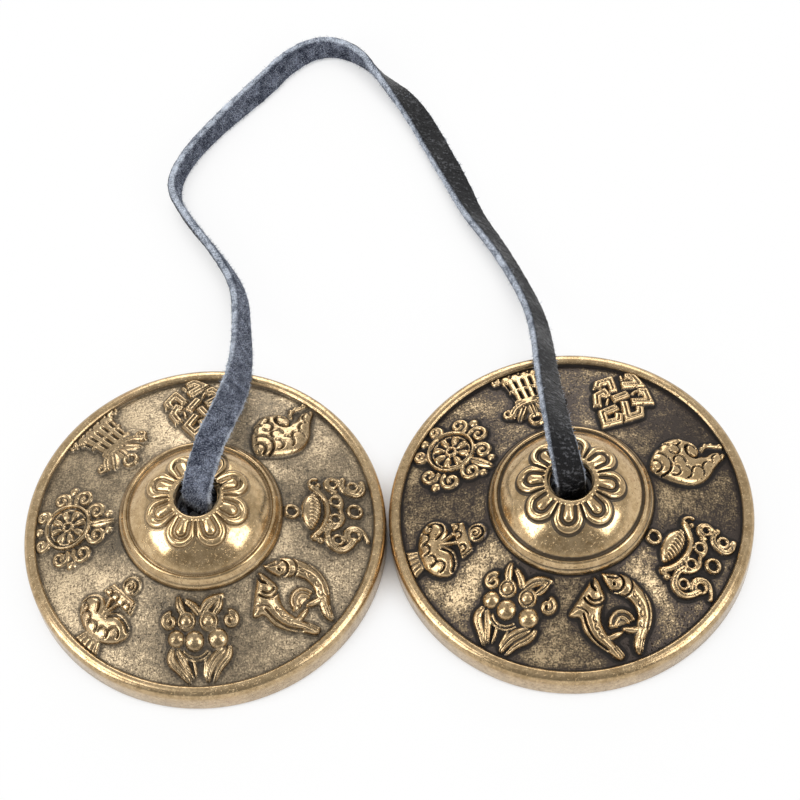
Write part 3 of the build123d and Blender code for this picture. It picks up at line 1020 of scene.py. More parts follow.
    def wheel(self) -> None:
        """A spoked wheel among curls and pearls."""
        hub = (-0.25, -1.45)
        self.band(arc(hub, 4.05, 0.0, 360.0, 48), 0.75, 0.8)
        self.band(arc(hub, 3.3, 0.0, 360.0, 40), 0.40, 0.45)
        self.hoop(hub, 0.8, 0.7)
        for turn in range(8):
            angle = math.radians(45.0 * turn + 12.0)
            ray = (math.cos(angle), math.sin(angle))
            spoke = [(hub[0] + r * ray[0], hub[1] + r * ray[1]) for r in (1.2, 2.1, 2.7)]
            self.swell(self.reach(spoke, [0.3, 0.72, 0.78]), 0.68, 0.7)
            self.cut(spoke, 0.26, 0.2)
        self.band(curl((-2.2, 3.9), 1.65, 270.0, -1.2), 1.05)
        self.band(curl((2.3, 4.0), 1.7, 270.0, 1.2), 1.05)
        self.leaf([(0.1, 3.0), (0.2, 5.0), (0.3, 7.4)], 2.0)
        for centre in ((-1.4, 6.1), (1.9, 6.2)):
            self.pearl(centre, 0.85, 0.55)
        curls = (
            ((-5.2, 1.5), 1.75, 290.0, -1.2), ((5.2, 1.4), 1.75, 250.0, 1.2),
            ((-5.7, -2.8), 1.55, 60.0, 1.2), ((5.5, -2.8), 1.6, 120.0, -1.2),
            ((-3.0, -6.2), 1.3, 70.0, 1.2), ((2.3, -6.3), 1.3, 110.0, -1.2),
        )
        for scroll in curls:
            self.band(curl(*scroll), 1.0)
        for centre in ((-7.3, -0.6), (7.2, -0.7), (-0.4, -7.1)):
            self.pearl(centre, 1.0, 0.6)

    def banner(self) -> None:
        """A tiered victory banner under a curled roof."""
        bed = [
            (-3.6, 2.9), (-2.6, 4.6), (0.5, 4.6), (3.4, 4.4), (4.0, 2.6), (1.4, 0.6), (-0.8, 0.6),
        ]
        self.patch(flow(bed, True), 0.25)
        self.hoop((0.6, 5.1), 1.15, 0.95)
        plumes = ((-0.5, 1.3), (-2.6, 4.4)), ((0.5, 1.3), (0.5, 4.2)), ((1.5, 1.3), (3.5, 4.2))
        for base, tip in plumes:
            middle = ((base[0] + tip[0]) / 2, (base[1] + tip[1]) / 2)
            self.leaf([base, middle, tip], 2.2)
        eaves = [(-4.1, 3.3), (-3.0, 1.7), (-0.6, 0.7), (1.4, 0.7), (3.4, 1.4), (4.4, 2.7)]
        self.double(flow(eaves), 1.5, 0.75)
        self.band(curl((-4.5, 2.3), 1.2, 30.0, -1.1), 0.85)
        self.band(curl((4.9, 2.2), 1.2, 150.0, 1.1), 0.85)
        tower = [
            (-3.2, 0.3), (2.9, 0.3), (3.1, -3.0), (3.7, -5.6), (5.0, -7.3), (-5.5, -7.4),
            (-4.1, -5.6), (-3.5, -3.0),
        ]
        self.patch(tower, 0.6, 0.5)
        for step in range(5):
            x = -2.5 + 1.28 * step
            self.cut([(x, -0.6), (x * 1.04, -2.4)], 0.7, 0.6)
            self.cut([(x * 1.07, -3.4), (x * 1.14, -5.0)], 0.7, 0.6)
        for y, half in ((-0.05, 3.1), (-2.9, 3.3), (-5.5, 3.8)):
            self.band([(-half - 0.2, y), (half - 0.3, y)], 0.7, 0.75)
        for x in (-4.3, -2.5, -0.7, 1.1, 2.9):
            self.cut(arc((x, -6.3), 0.85, 185.0, 355.0), 0.54, 0.50)
        self.band(curl((-5.0, -6.6), 0.9, 250.0, -1.0), 0.65)
        self.band(curl((4.5, -6.5), 0.9, 290.0, 1.0), 0.65)


def ramp(distance: np.ndarray, width: float) -> np.ndarray:
    """One at distance 0, falling to 0 at a width away."""
    return np.clip(1.0 - distance / width, 0.0, 1.0)


@dataclass
class Casting:
    """One cymbal: rim, bordered plate with its symbols, collar, dome with its petals, and lip."""

    side: Side
    finish: BronzeFinish
    turn: float
    bore_x: float
    radius: float = 32.5
    rim_inner: float = 28.3
    field_outer: float = 30.2
    field_inner: float = 14.65
    field_low: float = 5.15
    field_high: float = 10.85
    hollow_corner: Pair = (12.29, 8.31)
    hollow_edge: float = 2.44
    dome_radius: float = 12.60
    dome_ball: float = 16.819
    hollow_ball: float = 13.819
    ball_z: float = 1.981
    bore: float = 3.60
    lip: float = 4.55
    lip_roll: float = 0.90
    lip_height: float = 0.50
    bulge: float = 0.45
    symbol_ring: float = 22.5
    symbol_lift: float = 1.55
    symbol_proud: float = 0.66
    symbol_fade: float = 0.3
    cavity_gain: float = 7.0
    cavity_edge: float = 0.35
    shelter_gain: float = 3.0
    shelter_edge: float = 1.1
    petals: int = 8
    petal_spine: Pair = (4.2, 6.75)
    petal_halves: Pair = (1.70, 2.68)
    tongue_spine: Pair = (4.0, 6.65)
    tongue_halves: Pair = (0.70, 1.02)
    petal_groove: float = 0.42
    petal_swell: Pair = (0.72, 0.50)
    tongue_swell: Pair = (0.76, 0.75)
    petal_parting: Pair = (0.42, 0.5)
    petal_fade: float = 0.35
    petal_proud: float = 0.5
    rim_shine: float = 0.78
    hollow_shine: float = 0.2
    border_grime_and_shade: float = 0.9
    around_plate: int = 1024
    around_dome: int = 512
    field_rings: int = 76
    dome_rings: int = 60
    hollow_rings: int = 8

    def symbols(self) -> list[Callable[[LuckySymbols], None]]:
        """Lists the drawings round the plate.

        Returns:
            The drawings in order, the first on the +X side.
        """
        lucky = LuckySymbols
        return [lucky.parasol, lucky.conch, lucky.endless_knot, lucky.banner,
                lucky.wheel, lucky.vase, lucky.lotus, lucky.fish_pair]

    def field_relief(self, radii: np.ndarray) -> np.ndarray:
        """Draws the eight symbols on the plate.

        Args:
            radii: Radius of each ring of the field.

        Returns:
            Heights, rings by places round them.
        """
        drawings = self.symbols()
        share = self.around_plate // len(drawings)
        places = np.arange(share) - share // 2
        offsets = places * FULL_TURN / self.around_plate
        heights = np.zeros((len(radii), self.around_plate))
        x = radii[:, None] * np.sin(offsets)
        y = self.symbol_ring - radii[:, None] * np.cos(offsets)
        for number, drawing in enumerate(drawings):
            art = LuckySymbols(x, y)
            drawing(art)
            heights[:, (places + number * share) % self.around_plate] = art.height
        edge = np.minimum(radii - self.field_inner, self.field_outer - radii)
        fade = np.clip(edge / self.symbol_fade, 0.0, 1.0)[:, None]
        return heights * self.symbol_lift * fade

    def petal_relief(self, radii: np.ndarray) -> tuple[np.ndarray, np.ndarray]:
        """Draws the ring of petals on the dome.

        Args:
            radii: Radius of each ring of the dome.

        Returns:
            Heights, and how dark the lines between them are painted, as grime and as shade, rings
            by places round them.
        """
        angles = np.arange(self.around_dome) * FULL_TURN / self.around_dome
        pitch = FULL_TURN / self.petals
        offset = (angles % pitch) - pitch / 2
        art = Carving(radii[:, None] * np.sin(offset), radii[:, None] * np.cos(offset))
        outline = art.reach([(0.0, r) for r in self.petal_spine], self.petal_halves)
        tongue = art.reach([(0.0, r) for r in self.tongue_spine], self.tongue_halves)
        art.swell(np.maximum(outline, self.petal_groove - tongue), *self.petal_swell)
        art.swell(tongue, *self.tongue_swell)
        for edge in (-pitch / 2, pitch / 2):
            reach = (self.lip, self.dome_radius)
            parting = [(r * math.sin(edge), r * math.cos(edge)) for r in reach]
            art.cut(parting, *self.petal_parting)
        petal = np.clip((radii - self.lip) / self.petal_fade, 0.0, 1.0)[:, None]
        lines = np.minimum(np.abs(outline - 0.10), np.abs(tongue - self.petal_groove / 2))
        heights = art.height * petal + self.lip_height * (1.0 - petal)
        return heights, np.clip(1.35 - lines / 0.34, 0.0, 1.0) * petal

    def lathe(self, profile: np.ndarray) -> tuple[np.ndarray, list[list[int]]]:
        """Turns a closed half section about the cymbal's axis.

        Args:
            profile: Radius and height of each point of each ring, in millimetres.

        Returns:
            The points in metres, and the outward quads.
        """
        rings, around = profile.shape[:2]
        angles = np.arange(around) * FULL_TURN / around + math.radians(self.turn)
        radii, heights = profile[..., 0], profile[..., 1]
        x, y = self.bore_x + radii * np.cos(angles), radii * np.sin(angles)
        points = np.stack([x, y, heights], -1) * MM
        numbers = np.arange(rings * around).reshape(rings, around)
        after, beside = np.roll(numbers, -1, axis=0), np.roll(numbers, -1, axis=1)
        corners = [numbers, after, np.roll(after, -1, axis=1), beside]
        return points.reshape(-1, 3), np.stack(corners, -1).reshape(-1, 4).tolist()

    @staticmethod
    def spread(heights: np.ndarray, rings: int, columns: int) -> np.ndarray:
        """Blurs heights.

        Args:
            heights: Heights, rings by places round them.
            rings: How many rings the blur reaches each way.
            columns: How many places round it reaches each way.

        Returns:
            The blurred heights.
        """
        soft = heights
        wide, tall = 2 * columns + 1, 2 * rings + 1
        for _ in range(2):
            soft = sum(np.roll(soft, step, 1) for step in range(-columns, columns + 1)) / wide
            padded = np.pad(soft, ((rings, rings), (0, 0)), mode="edge")
            soft = sum(padded[step:step + len(heights)] for step in range(tall)) / tall
        return soft

    @staticmethod
    def rings(values: Sequence[object], around: int) -> np.ndarray:
        """Repeats one value or section point for each ring all the way round."""
        return np.repeat(np.array(values)[:, None], around, axis=1)

    def piece(
        self, name: str, section: np.ndarray, layers: Mapping[str, Sequence[np.ndarray]],
    ) -> bpy.types.Object:
        """Makes one turned mesh of the casting.

        Args:
            name: What the mesh shows.
            section: Radius and height of each point of each ring.
            layers: The wear layers, whose cavity one is partly painted shade, each in parts that
                follow the section's rings.

        Returns:
            The piece.
        """
        points, faces = self.lathe(section)
        values = {key: np.concatenate(parts).ravel() for key, parts in layers.items()}
        name = f"{self.side.value}_{name}"
        return mesh_piece(name, points, faces, self.finish.material(), values)

    def plate(self) -> bpy.types.Object:
        """Makes the rim and the plate with its symbols.

        Returns:
            The piece.
        """
        around = self.around_plate
        radii = np.linspace(self.field_inner, self.field_outer, self.field_rings)
        slope = (self.field_high - self.field_low) / (self.field_outer - self.field_inner)
        level = self.field_low + (self.field_outer - radii) * slope
        relief = self.field_relief(radii)
        lean = math.atan(slope)
        outward, upward = relief * math.sin(lean), relief * math.cos(lean)
        ground = np.stack([radii[:, None] + outward, level[:, None] + upward], -1)
        rim = [
            (30.25, 5.45), (30.50, 5.88), (30.80, 6.0), (31.35, 5.98), (31.90, 5.76), (32.30, 5.34),
            (32.48, 4.80), (self.radius, 4.2), (self.radius, 0.85), (32.32, 0.26), (31.80, 0.0),
            (28.50, 0.0), (28.32, 0.15), (self.rim_inner, self.hollow_edge), (20.0, 5.48),
            self.hollow_corner,
        ]
        gap = np.minimum(radii - self.field_inner, self.field_outer - radii)[:, None]
        # The cavity layer darkens the relief's lines and the field's two edges: partly grime,
        # partly painted shade.
        cavity = np.clip((self.spread(relief, 2, 3) - relief) * self.cavity_gain, 0.0, 1.0)
        cavity = np.maximum(cavity, ramp(gap, self.cavity_edge))
        shelter = self.spread(relief, 6, 9) * self.shelter_gain + ramp(gap, self.shelter_edge)
        shelter = np.clip(shelter, 0.0, 1.0)
        border = self.field_outer + 0.1
        shine = [self.hollow_shine if z < 5.6 and r < border else self.rim_shine for r, z in rim]
        # The groove where the field meets the rim is darkened too: partly grime, partly painted
        # shade.
        dirt_and_shade = [self.border_grime_and_shade if z > 5.0 and r < border else 0.0 for r, z in rim]
        none = np.zeros((len(rim), around))
        return self.piece("plate", np.concatenate([ground, self.rings(rim, around)]), {
            "relief": [np.clip(relief / self.symbol_proud, 0.0, 1.0), none],
            "cavity": [cavity, self.rings(dirt_and_shade, around)],
            "shelter": [shelter, none],
            "shine": [np.zeros_like(relief), self.rings(shine, around)],
        })

    def dome(self) -> bpy.types.Object:
        """Makes the collar, the dome with its petals, the lip and the bore.

        Returns:
            The piece.
        """
        around = self.around_dome
        wall = [(self.bore, 15.32), (self.bore, 16.5), (self.bore, 17.6)]
        radii = np.linspace(self.bore + 0.05, self.dome_radius, self.dome_rings)
        rise = np.sqrt(self.dome_ball**2 - radii**2)[:, None]
        rolled = np.clip((self.lip - radii) / (self.lip - self.bore), 0.0, 1.0)
        drop = self.lip_roll * (1.0 - np.sqrt(1.0 - rolled**2))
        outward = np.clip((radii - self.lip) / (self.dome_radius - self.lip), 0.0, 1.0)
        drop -= self.bulge * np.sin(np.pi * outward)
        relief, lines = self.petal_relief(radii)
        # The lines round the petals and the dome's foot are darkened: partly grime, partly painted
        # shade.
        foot = ramp(self.dome_radius - radii, 0.5)[:, None]
        lines = np.maximum(lines, self.border_grime_and_shade * foot)
        swollen = 1.0 + relief / self.dome_ball
        wide = np.where(radii[:, None] < self.lip, radii[:, None], radii[:, None] * swollen)
        shell = np.stack([wide, self.ball_z + rise * swollen - drop[:, None]], -1)
        collar = [
            (12.74, 12.93), (12.86, 13.04), (13.02, 13.22), (13.20, 13.27), (13.38, 13.16),
            (13.60, 12.82), (13.90, 12.28), (14.06, 12.02), (14.18, 11.90), (14.34, 11.72),
            (14.48, 11.42), (14.58, 11.10), (self.field_inner, 10.80),
        ]
        inner = np.linspace(self.hollow_corner[0], 4.6, self.hollow_rings)
        hollow = [(r, self.ball_z + math.sqrt(self.hollow_ball**2 - r**2)) for r in inner]
        # The collar's steps and its foot are darkened: partly grime, partly painted shade.
        dirt_and_shade = [1.0, 0.5] + [0.0] * 5 + [0.5, 0.4] + [0.0] * 3 + [1.0]
        shine = [1.0] * 6 + [0.82] * 7
        section = [self.rings(wall, around), shell]
        section += [self.rings(collar, around), self.rings(hollow, around)]
        bare, plain, under = (np.zeros((len(part), around)) for part in (wall, collar, hollow))
        return self.piece("dome", np.concatenate(section), {
            "relief": [bare, relief / self.petal_proud, plain, under],
            "cavity": [bare, lines, self.rings(dirt_and_shade, around), under],
            "shelter": [bare, np.zeros_like(relief), plain, under],
            "shine": [
                bare + 1.0, np.ones_like(relief), self.rings(shine, around),
                under + self.hollow_shine,
            ],
        })

    def build(self) -> None:
        """Makes both meshes of the casting, which stand for its node."""
        node = f"{self.side.value}_cymbal"
        for piece in (self.plate(), self.dome()):
            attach(piece, node)
            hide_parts(node)
            LOG.info("%s: %d faces", piece.name, len(piece.data.polygons))


@dataclass(frozen=True)
class Nap:
    """Loose fibres that stand on suede and on cut edges."""

    density: float = 4.0e6
    length: float = 0.60 * MM
    thickness: float = 0.042 * MM
    tilt: float = math.radians(62.0)
    seed: int = 7
    shortest: float = 0.5
    longest: float = 1.3

    def tree(self) -> bpy.types.NodeTree:
        """Builds the node group that scatters the fibres over a strap.

        Returns:
            The group, with named inputs.
        """
        group = bpy.data.node_groups.new("leather_nap", "GeometryNodeTree")
        interface = group.interface
        interface.new_socket("Geometry", in_out="OUTPUT", socket_type="NodeSocketGeometry")
        kinds = {
            "Strap": "Geometry", "Leather": "Material", "Density": "Float", "Length": "Float",
            "Thickness": "Float", "Tilt": "Float", "Seed": "Int",
        }
        for name, kind in kinds.items():
            interface.new_socket(name, in_out="INPUT", socket_type=f"NodeSocket{kind}")
        wiring = Wiring(group)
        given = wiring.node("NodeGroupInput").socket.node.outputs
        strap, leather, density, length, thickness, tilt, seed = (
            Signal(wiring, given[name]) for name in kinds
        )
        layer = {"data_type": "FLOAT"}
        grain = wiring.node("GeometryNodeInputNamedAttribute", layer, {"Name": "grain"})
        scatter = {"Mesh": strap, "Density": density * (1 - grain), "Seed": seed}
        points = wiring.node("GeometryNodeDistributePointsOnFaces", {}, scatter)
        upright = Signal(wiring, points.socket.node.outputs["Rotation"])
        cone = {"Vertices": 3, "Radius Top": 0.0, "Radius Bottom": thickness, "Depth": length}
        fibre = wiring.node("GeometryNodeMeshCone", {}, cone)
        pale = {"Geometry": fibre, "Name": "cut", "Value": 1.0}
        fibre = wiring.node("GeometryNodeStoreNamedAttribute", {}, pale)
        lean = wiring.node("ShaderNodeCombineXYZ", {}, {"X": tilt, "Y": tilt, "Z": math.pi})
        scaled = {0: lean, "Scale": -1.0}
        other = wiring.node("ShaderNodeVectorMath", {"operation": "SCALE"}, scaled)
        ends = {0: other, 1: lean, "Seed": seed}
        turn = wiring.node("FunctionNodeRandomValue", {"data_type": "FLOAT_VECTOR"}, ends)
        turn = wiring.node("FunctionNodeEulerToRotation", {}, {0: turn})
        local = {"rotation_space": "LOCAL"}
        stand = wiring.node("FunctionNodeRotateRotation", local, {0: upright, 1: turn})
        ends = {2: self.shortest, 3: self.longest, "Seed": seed}
        size = wiring.node("FunctionNodeRandomValue", {"data_type": "FLOAT"}, ends, 1)
        spots = {"Points": points, "Instance": fibre, "Rotation": stand, "Scale": size}
        fibres = wiring.node("GeometryNodeInstanceOnPoints", {}, spots)
        both = wiring.node("GeometryNodeJoinGeometry", {}, {0: strap})
        wiring.feed(both.socket.node.inputs[0], fibres)
        whole = wiring.node("GeometryNodeRealizeInstances", {}, {0: both})
        dressed = {"Geometry": whole, "Material": leather}
        whole = wiring.node("GeometryNodeSetMaterial", {}, dressed)
        wiring.feed(group.nodes.new("NodeGroupOutput").inputs[0], whole)
        return group

    def grow(self, piece: bpy.types.Object) -> None:
        """Adds the fibres to a strap's mesh.

        Args:
            piece: The strap, whose layer grain keeps its smooth side bare.
        """
        group = self.tree()
        values = {
            "Leather": piece.data.materials[0], "Density": self.density, "Length": self.length,
            "Thickness": self.thickness, "Tilt": self.tilt, "Seed": self.seed,
        }
        modifier = piece.modifiers.new("nap", "NODES")
        modifier.node_group = group
        for item in group.interface.items_tree:
            if item.name in values:
                modifier[item.identifier] = values[item.name]
        depsgraph = bpy.context.evaluated_depsgraph_get()
        mesh = bpy.data.meshes.new_from_object(
            piece.evaluated_get(depsgraph), preserve_all_data_layers=True, depsgraph=depsgraph,
        )
        piece.modifiers.clear()
        piece.data = mesh


@dataclass
class Ribbon:
    """A stretch of flat leather along a line."""

    centre: np.ndarray
    across: np.ndarray
    width: float
    thickness: float
    seed: int
    corner: float = 0.36 * MM
    face_steps: int = 11
    edge_steps: int = 4
    ragged: float = 0.18 * MM
    ragged_waves: tuple[float, ...] = (0.9 * MM, 1.7 * MM, 3.1 * MM, 6.7 * MM)
    ragged_slant: float = 1.5
    wrinkle: float = 0.07 * MM
    wrinkle_waves: tuple[float, ...] = (1.1 * MM, 1.6 * MM, 2.3 * MM, 3.7 * MM)
    wrinkle_slant: float = 0.7
    flesh_wrinkle: float = 0.4
    fade: float = 1.5 * MM
    pale_edge_share: float = 1.0

    def section(self) -> tuple[np.ndarray, np.ndarray, np.ndarray]:
        """The cut through the strap.

        Returns:
            Places across and through it, and the kind of face at each.
        """
        half, deep = self.width / 2, self.thickness / 2
        flat = np.linspace(-half + self.corner, half - self.corner, self.face_steps)
        side = np.linspace(-deep + self.corner, deep - self.corner, self.edge_steps)
        top, edge = np.full(self.face_steps, deep), np.full(self.edge_steps, half)
        kinds = [Face.GRAIN] * self.face_steps + [Face.CUT] * self.edge_steps
        kinds += [Face.FLESH] * self.face_steps + [Face.CUT] * self.edge_steps
        across = np.concatenate([flat, edge, flat[::-1], -edge])
        through = np.concatenate([-top, side, top, side[::-1]])
        return across, through, np.array([kind.value for kind in kinds])

    def ripple(
        self, along: np.ndarray, around: np.ndarray, lengths: Sequence[float], slant: float,
    ) -> np.ndarray:
        """Sum of seeded waves.

        Args:
            along: Distance along the strap.
            around: Distance across it.
            lengths: Wave lengths.
            slant: How far the waves lean across the strap.

        Returns:
            Heights of about one at most.
        """
        dice = np.random.default_rng(self.seed)
        total = np.zeros(np.broadcast(along, around).shape)
        for length in lengths:
            lean = dice.uniform(-slant, slant)
            shift = dice.uniform(0.0, FULL_TURN)
            total = total + np.sin((along + lean * around) * FULL_TURN / length + shift)
        return total / len(lengths)

    def rings(self) -> tuple[np.ndarray, np.ndarray]:
        """Places the cut along the line, with ragged edges and wrinkled grain.

        Returns:
            The rings, and the kind of face at each of their corners.
        """
        steps = np.linalg.norm(np.diff(self.centre, axis=0), axis=1)
        along = np.concatenate([[0.0], np.cumsum(steps)])[:, None]
        tangent = unit(np.gradient(self.centre, axis=0))
        flesh = unit(np.cross(tangent, self.across))
        across = unit(np.cross(flesh, tangent))
        v, h, kinds = self.section()
        grain, cut, suede = (kinds == kind.value for kind in (Face.GRAIN, Face.CUT, Face.FLESH))
        fade = np.clip(np.minimum(along, along[-1] - along) / self.fade, 0.0, 1.0)
        rag = self.ripple(along, v[None] + h[None], self.ragged_waves, self.ragged_slant)
        crease = self.ripple(along, v[None], self.wrinkle_waves, self.wrinkle_slant)
        rag, crease = fade * self.ragged * rag, fade * self.wrinkle * crease
        v = v[None] + rag * cut * np.sign(v)[None]
        h = h[None] - crease * grain + self.flesh_wrinkle * crease * suede
        rings = self.centre[:, None] + across[:, None] * v[..., None]
        return rings + flesh[:, None] * h[..., None], kinds

    def build(self, name: str, material: bpy.types.Material) -> bpy.types.Object:
        """Makes the ribbon as one closed mesh.

        Args:
            name: The piece's name.
            material: Its finish.

        Returns:
            The piece.
        """
        rings, kinds = self.rings()
        layers = {
            "grain": np.tile(kinds == Face.GRAIN.value, len(rings)),
            "cut": np.tile(kinds == Face.CUT.value, len(rings)) * self.pale_edge_share,
        }
        piece = mesh_piece(name, rings.reshape(-1, 3), loft(rings), material, layers)
        Nap(seed=self.seed).grow(piece)
        return piece


Line = tuple[np.ndarray, np.ndarray]


def ribbon_line(controls: np.ndarray, widths: np.ndarray, fineness: int) -> Line:
    """Reads a flat strap's line.

    Args:
        controls: Control points of its centre, in metres.
        widths: The direction of its width at each.
        fineness: Points for each control span.

    Returns:
        Centre points, and the direction of the width at each.
    """
    centre = spline_points(controls, fineness)
    rail = spline_points(controls + widths * MM, fineness)
    return centre, unit(rail - centre)


@dataclass
class Knot:
    """The overhand knot that stops one end of the strap under its dome."""

    side: Side
    bore_x: float
    turn: float
    width: float = 4.4 * MM
    thickness: float = 1.5 * MM
    fineness: int = 8
    seed: int = 5
    # The knot's cut edges stay nearly as dark as its faces: painted shade where it sits in the
    # dome.
    pale_edge_share: float = 0.1

    def route(self) -> Line:
        """The knot's line about the bore's axis, from the strap to the tail.

        Returns:
            Control points in metres, and the direction of the strap's width at each.
        """
        line = [
            ((0.0, 0.0, 14.4), (-1.0, 0.0, 0.0)), ((0.5, 0.0, 12.5), (-0.9, 0.2, -0.2)),
            ((3.2, 0.6, 11.2), (-0.1, 0.6, 0.8)), ((2.6, 3.2, 10.4), (0.0, 0.1, 1.0)),
            ((-1.0, 3.4, 10.8), (0.0, 0.1, 1.0)), ((-3.3, 0.8, 11.6), (0.1, 0.1, 1.0)),
            ((-2.2, -2.6, 11.9), (0.0, 0.0, 1.0)), ((1.2, -3.0, 11.2), (0.3, 0.2, 0.9)),
            ((2.4, -0.6, 9.9), (0.4, 0.5, 0.8)), ((0.2, 0.6, 9.2), (0.5, 0.8, 0.1)),
            ((-0.3, 0.2, 6.2), (0.6, 0.8, 0.0)),
        ]
        spin = np.array(Matrix.Rotation(self.turn, 3, "Z"))
        places, widths = (np.array(rows) @ spin.T for rows in zip(*line))
        return places * MM + np.array([self.bore_x, 0.0, 0.0]), unit(widths)

    def build(self, leather: bpy.types.Material) -> bpy.types.Object:
        """Makes the knot, which rides with its end of the strap.

        Args:
            leather: The strap's finish.

        Returns:
            The piece.
        """
        name = self.side.value
        centre, across = ribbon_line(*self.route(), self.fineness)
        ribbon = Ribbon(centre, across, self.width, self.thickness, self.seed, pale_edge_share=self.pale_edge_share)
        piece = ribbon.build(f"{name}_overhand", leather)
        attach(piece, f"{name}_strap_end")
        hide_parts(f"{name}_knot")
        LOG.info("%s: %d faces", piece.name, len(piece.data.polygons))
        return piece


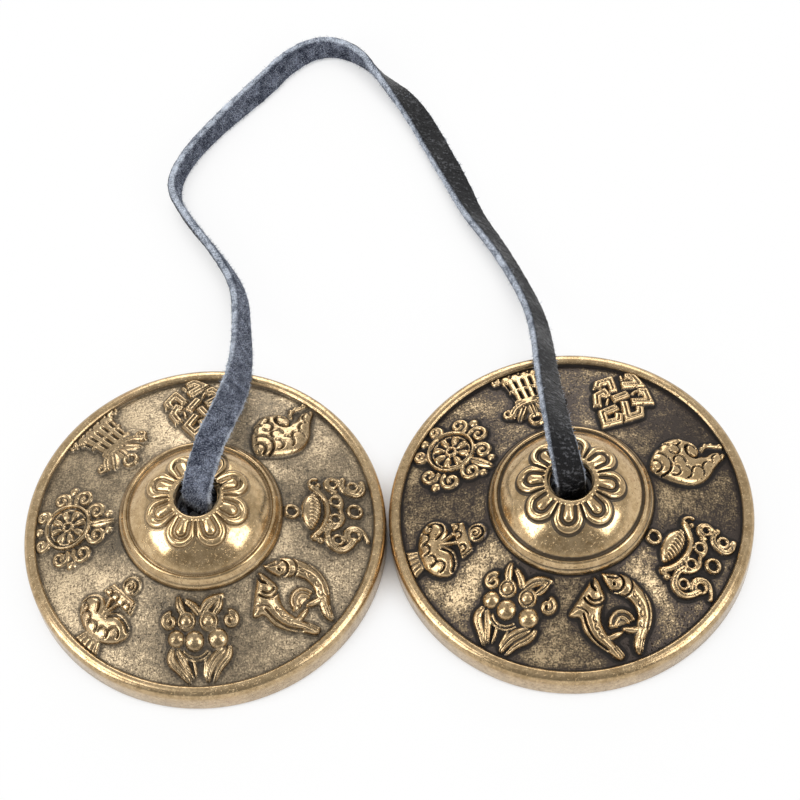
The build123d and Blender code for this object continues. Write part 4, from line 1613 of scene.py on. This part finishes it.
@dataclass
class Strap:
    """One length of flat leather, from the knot under one dome to the knot under the other."""

    width: float = 5.2 * MM
    thickness: float = 1.5 * MM
    floor_gap: float = 0.30 * MM
    fineness: int = 20
    bore_x: float = 32.71 * MM
    lip_z: float = 18.92 * MM
    crown_from: Point = (-22.0 * MM, 98.3 * MM, 2.8 * MM)
    crown_to: Point = (5.0 * MM, 93.4 * MM, 2.8 * MM)
    neck_start: Point = (0.0, 3.0 * MM, 0.0)
    neck_end: Point = (0.0, 14.5 * MM, 0.0)
    fold_start: Point = (-20.0 * MM, 0.0, 0.0)
    fold_end: Point = (3.0 * MM, 0.0, 0.0)
    left_turn: float = math.radians(-24.8)
    right_turn: float = math.radians(15.7)

    def lying(self, across: Point) -> float:
        """Finds how high the strap's middle is where it lies on the table.

        Args:
            across: The direction of the strap's width.

        Returns:
            The height in millimetres.
        """
        upright = unit(np.array(across))[2]
        half = self.width * upright + self.thickness * math.sqrt(1 - upright**2)
        return (half / 2 + self.floor_gap) / MM

    def route(self) -> Line:
        """The strap's line, left knot first.

        Returns:
            Control points in metres, and the direction of the strap's width at each.
        """
        raised_left = [
            ((-32.71, 0.0, 14.40), (-0.91, 0.42, 0.0)), ((-32.71, 0.0, 18.92), (-0.91, 0.42, 0.0)),
            ((-31.71, 2.4, 21.82), (-0.92, 0.40, 0.01)),
            ((-29.61, 7.4, 24.82), (-0.95, 0.31, 0.07)),
            ((-27.31, 14.6, 22.22), (-0.91, 0.33, 0.26)),
            ((-25.81, 23.6, 16.3), (-0.70, 0.43, 0.57)),
            ((-25.71, 32.8, 10.1), (-0.60, 0.39, 0.70)), ((-26.41, 42.2, 4.7), (-0.43, 0.33, 0.84)),
        ]
        laid = [
            ((-27.0, 51.0), (-0.38, 0.0, 0.92)), ((-31.2, 58.7), (-0.25, -0.15, 0.96)),
            ((-37.0, 66.9), (-0.14, -0.08, 0.99)), ((-40.5, 73.7), (-0.19, 0.0, 0.98)),
            ((-37.8, 81.1), (-0.05, 0.02, 1.0)), ((-31.0, 89.3), (-0.08, 0.08, 0.99)),
            ((-22.8, 97.3), (-0.31, 0.29, 0.91)), ((-17.0, 103.9), (-0.19, 0.24, 0.95)),
            ((-10.2, 106.8), (-0.02, 0.12, 0.99)), ((-3.6, 104.0), (-0.05, -0.06, 1.0)),
            ((0.8, 98.1), (-0.33, -0.30, 0.89)), ((5.2, 93.1), (-0.68, -0.54, 0.50)),
            ((8.3, 87.7), (-0.83, -0.43, 0.37)), ((11.6, 80.1), (-0.85, -0.37, 0.37)),
            ((14.8, 72.7), (-0.82, -0.32, 0.47)), ((17.4, 65.5), (-0.66, -0.30, 0.69)),
            ((21.6, 58.5), (-0.55, -0.31, 0.78)), ((25.2, 51.1), (-0.53, -0.23, 0.82)),
        ]
        raised_right = [
            ((28.21, 42.6, 4.6), (-0.64, 0.06, 0.76)), ((29.21, 33.6, 9.3), (-0.68, 0.30, 0.66)),
            ((29.51, 24.2, 15.0), (-0.73, 0.35, 0.58)), ((30.11, 15.0, 20.52), (-0.81, 0.25, 0.52)),
            ((30.91, 6.6, 24.72), (-0.88, 0.0, 0.48)), ((32.01, 1.6, 22.12), (-0.92, -0.30, 0.20)),
            ((32.71, 0.0, 18.92), (-0.96, -0.27, 0.0)), ((32.71, 0.0, 14.40), (-0.96, -0.27, 0.0)),
        ]
        lying = [((*place, self.lying(across)), across) for place, across in laid]
        places, widths = (np.array(rows) for rows in zip(*raised_left, *lying, *raised_right))
        return places * MM, unit(widths)

    def stretches(self) -> dict[str, Line]:
        """Reads the whole route as one smooth line and parts it where its bodies meet.

        Returns:
            Centre points and width directions of the left, crown and right stretches.
        """
        centre, across = ribbon_line(*self.route(), self.fineness)
        first, last = (
            int(np.argmin(np.linalg.norm(centre - np.array(cut), axis=1)))
            for cut in (self.crown_from, self.crown_to)
        )
        spans = {
            "left": slice(0, first + 1),
            "crown": slice(first, last + 1),
            "right": slice(last, None),
        }
        return {name: (centre[span], across[span]) for name, span in spans.items()}

    def build(self, leather: bpy.types.Material) -> None:
        """Makes the strap's stretches, and the knots that ride its ends.

        Args:
            leather: The strap's finish.
        """
        stretches = self.stretches()
        pieces = {}
        for seed, (name, (centre, across)) in enumerate(stretches.items()):
            ribbon = Ribbon(centre, across, self.width, self.thickness, seed)
            pieces[name] = ribbon.build(f"{name}_strap", leather)
        left, crown, right = pieces["left"], pieces["crown"], pieces["right"]
        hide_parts("strap_left_neck", "strap_left_bend", "strap_left_run")
        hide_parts("strap_crown")
        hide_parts("strap_right_run", "strap_right_bend", "strap_right_neck")
        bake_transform(left)
        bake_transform(crown)
        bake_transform(right)
        exits = {
            "left": (-self.bore_x, 0.0, self.lip_z),
            "crown": tuple(stretches["crown"][0][0]),
            "right": tuple(stretches["right"][0][0]),
        }
        knots = {
            "left": [Knot(Side.LEFT, -self.bore_x, self.left_turn).build(leather)],
            "right": [Knot(Side.RIGHT, self.bore_x, self.right_turn).build(leather)],
        }
        for name, piece in pieces.items():
            centre = stretches[name][0]


def main() -> None:
    """Builds the pair, its light and its camera."""
    logging.basicConfig(level=logging.INFO, format="%(message)s")
    bpy.context.scene.view_settings.view_transform = "Standard"
    PhotoCamera().place()
    Studio().build()
    Strap().build(LeatherFinish().material())
    pale = BronzeFinish(
        name="bronze_left",
        deep=(0.115, 0.095, 0.070, 1.0),
        patina=(0.270, 0.212, 0.140, 1.0),
        worn=(0.580, 0.455, 0.295, 1.0),
        patina_range=(-0.34, 0.02),
        worn_range=(-0.02, 0.26),
        soil_and_shade=0.48,
        polish=0.60,
    )
    dark = BronzeFinish(
        name="bronze_right",
        deep=(0.058, 0.047, 0.041, 1.0),
        patina=(0.220, 0.165, 0.100, 1.0),
        worn=(0.600, 0.455, 0.275, 1.0),
        patina_range=(-0.20, 0.10),
        worn_range=(0.06, 0.28),
        soil_and_shade=0.90,
        polish=0.92,
    )
    Casting(Side.LEFT, pale, turn=0.0, bore_x=-Strap.bore_x / MM).build()
    Casting(Side.RIGHT, dark, turn=-29.5, bore_x=Strap.bore_x / MM).build()


if __name__ == "__main__":
    main()
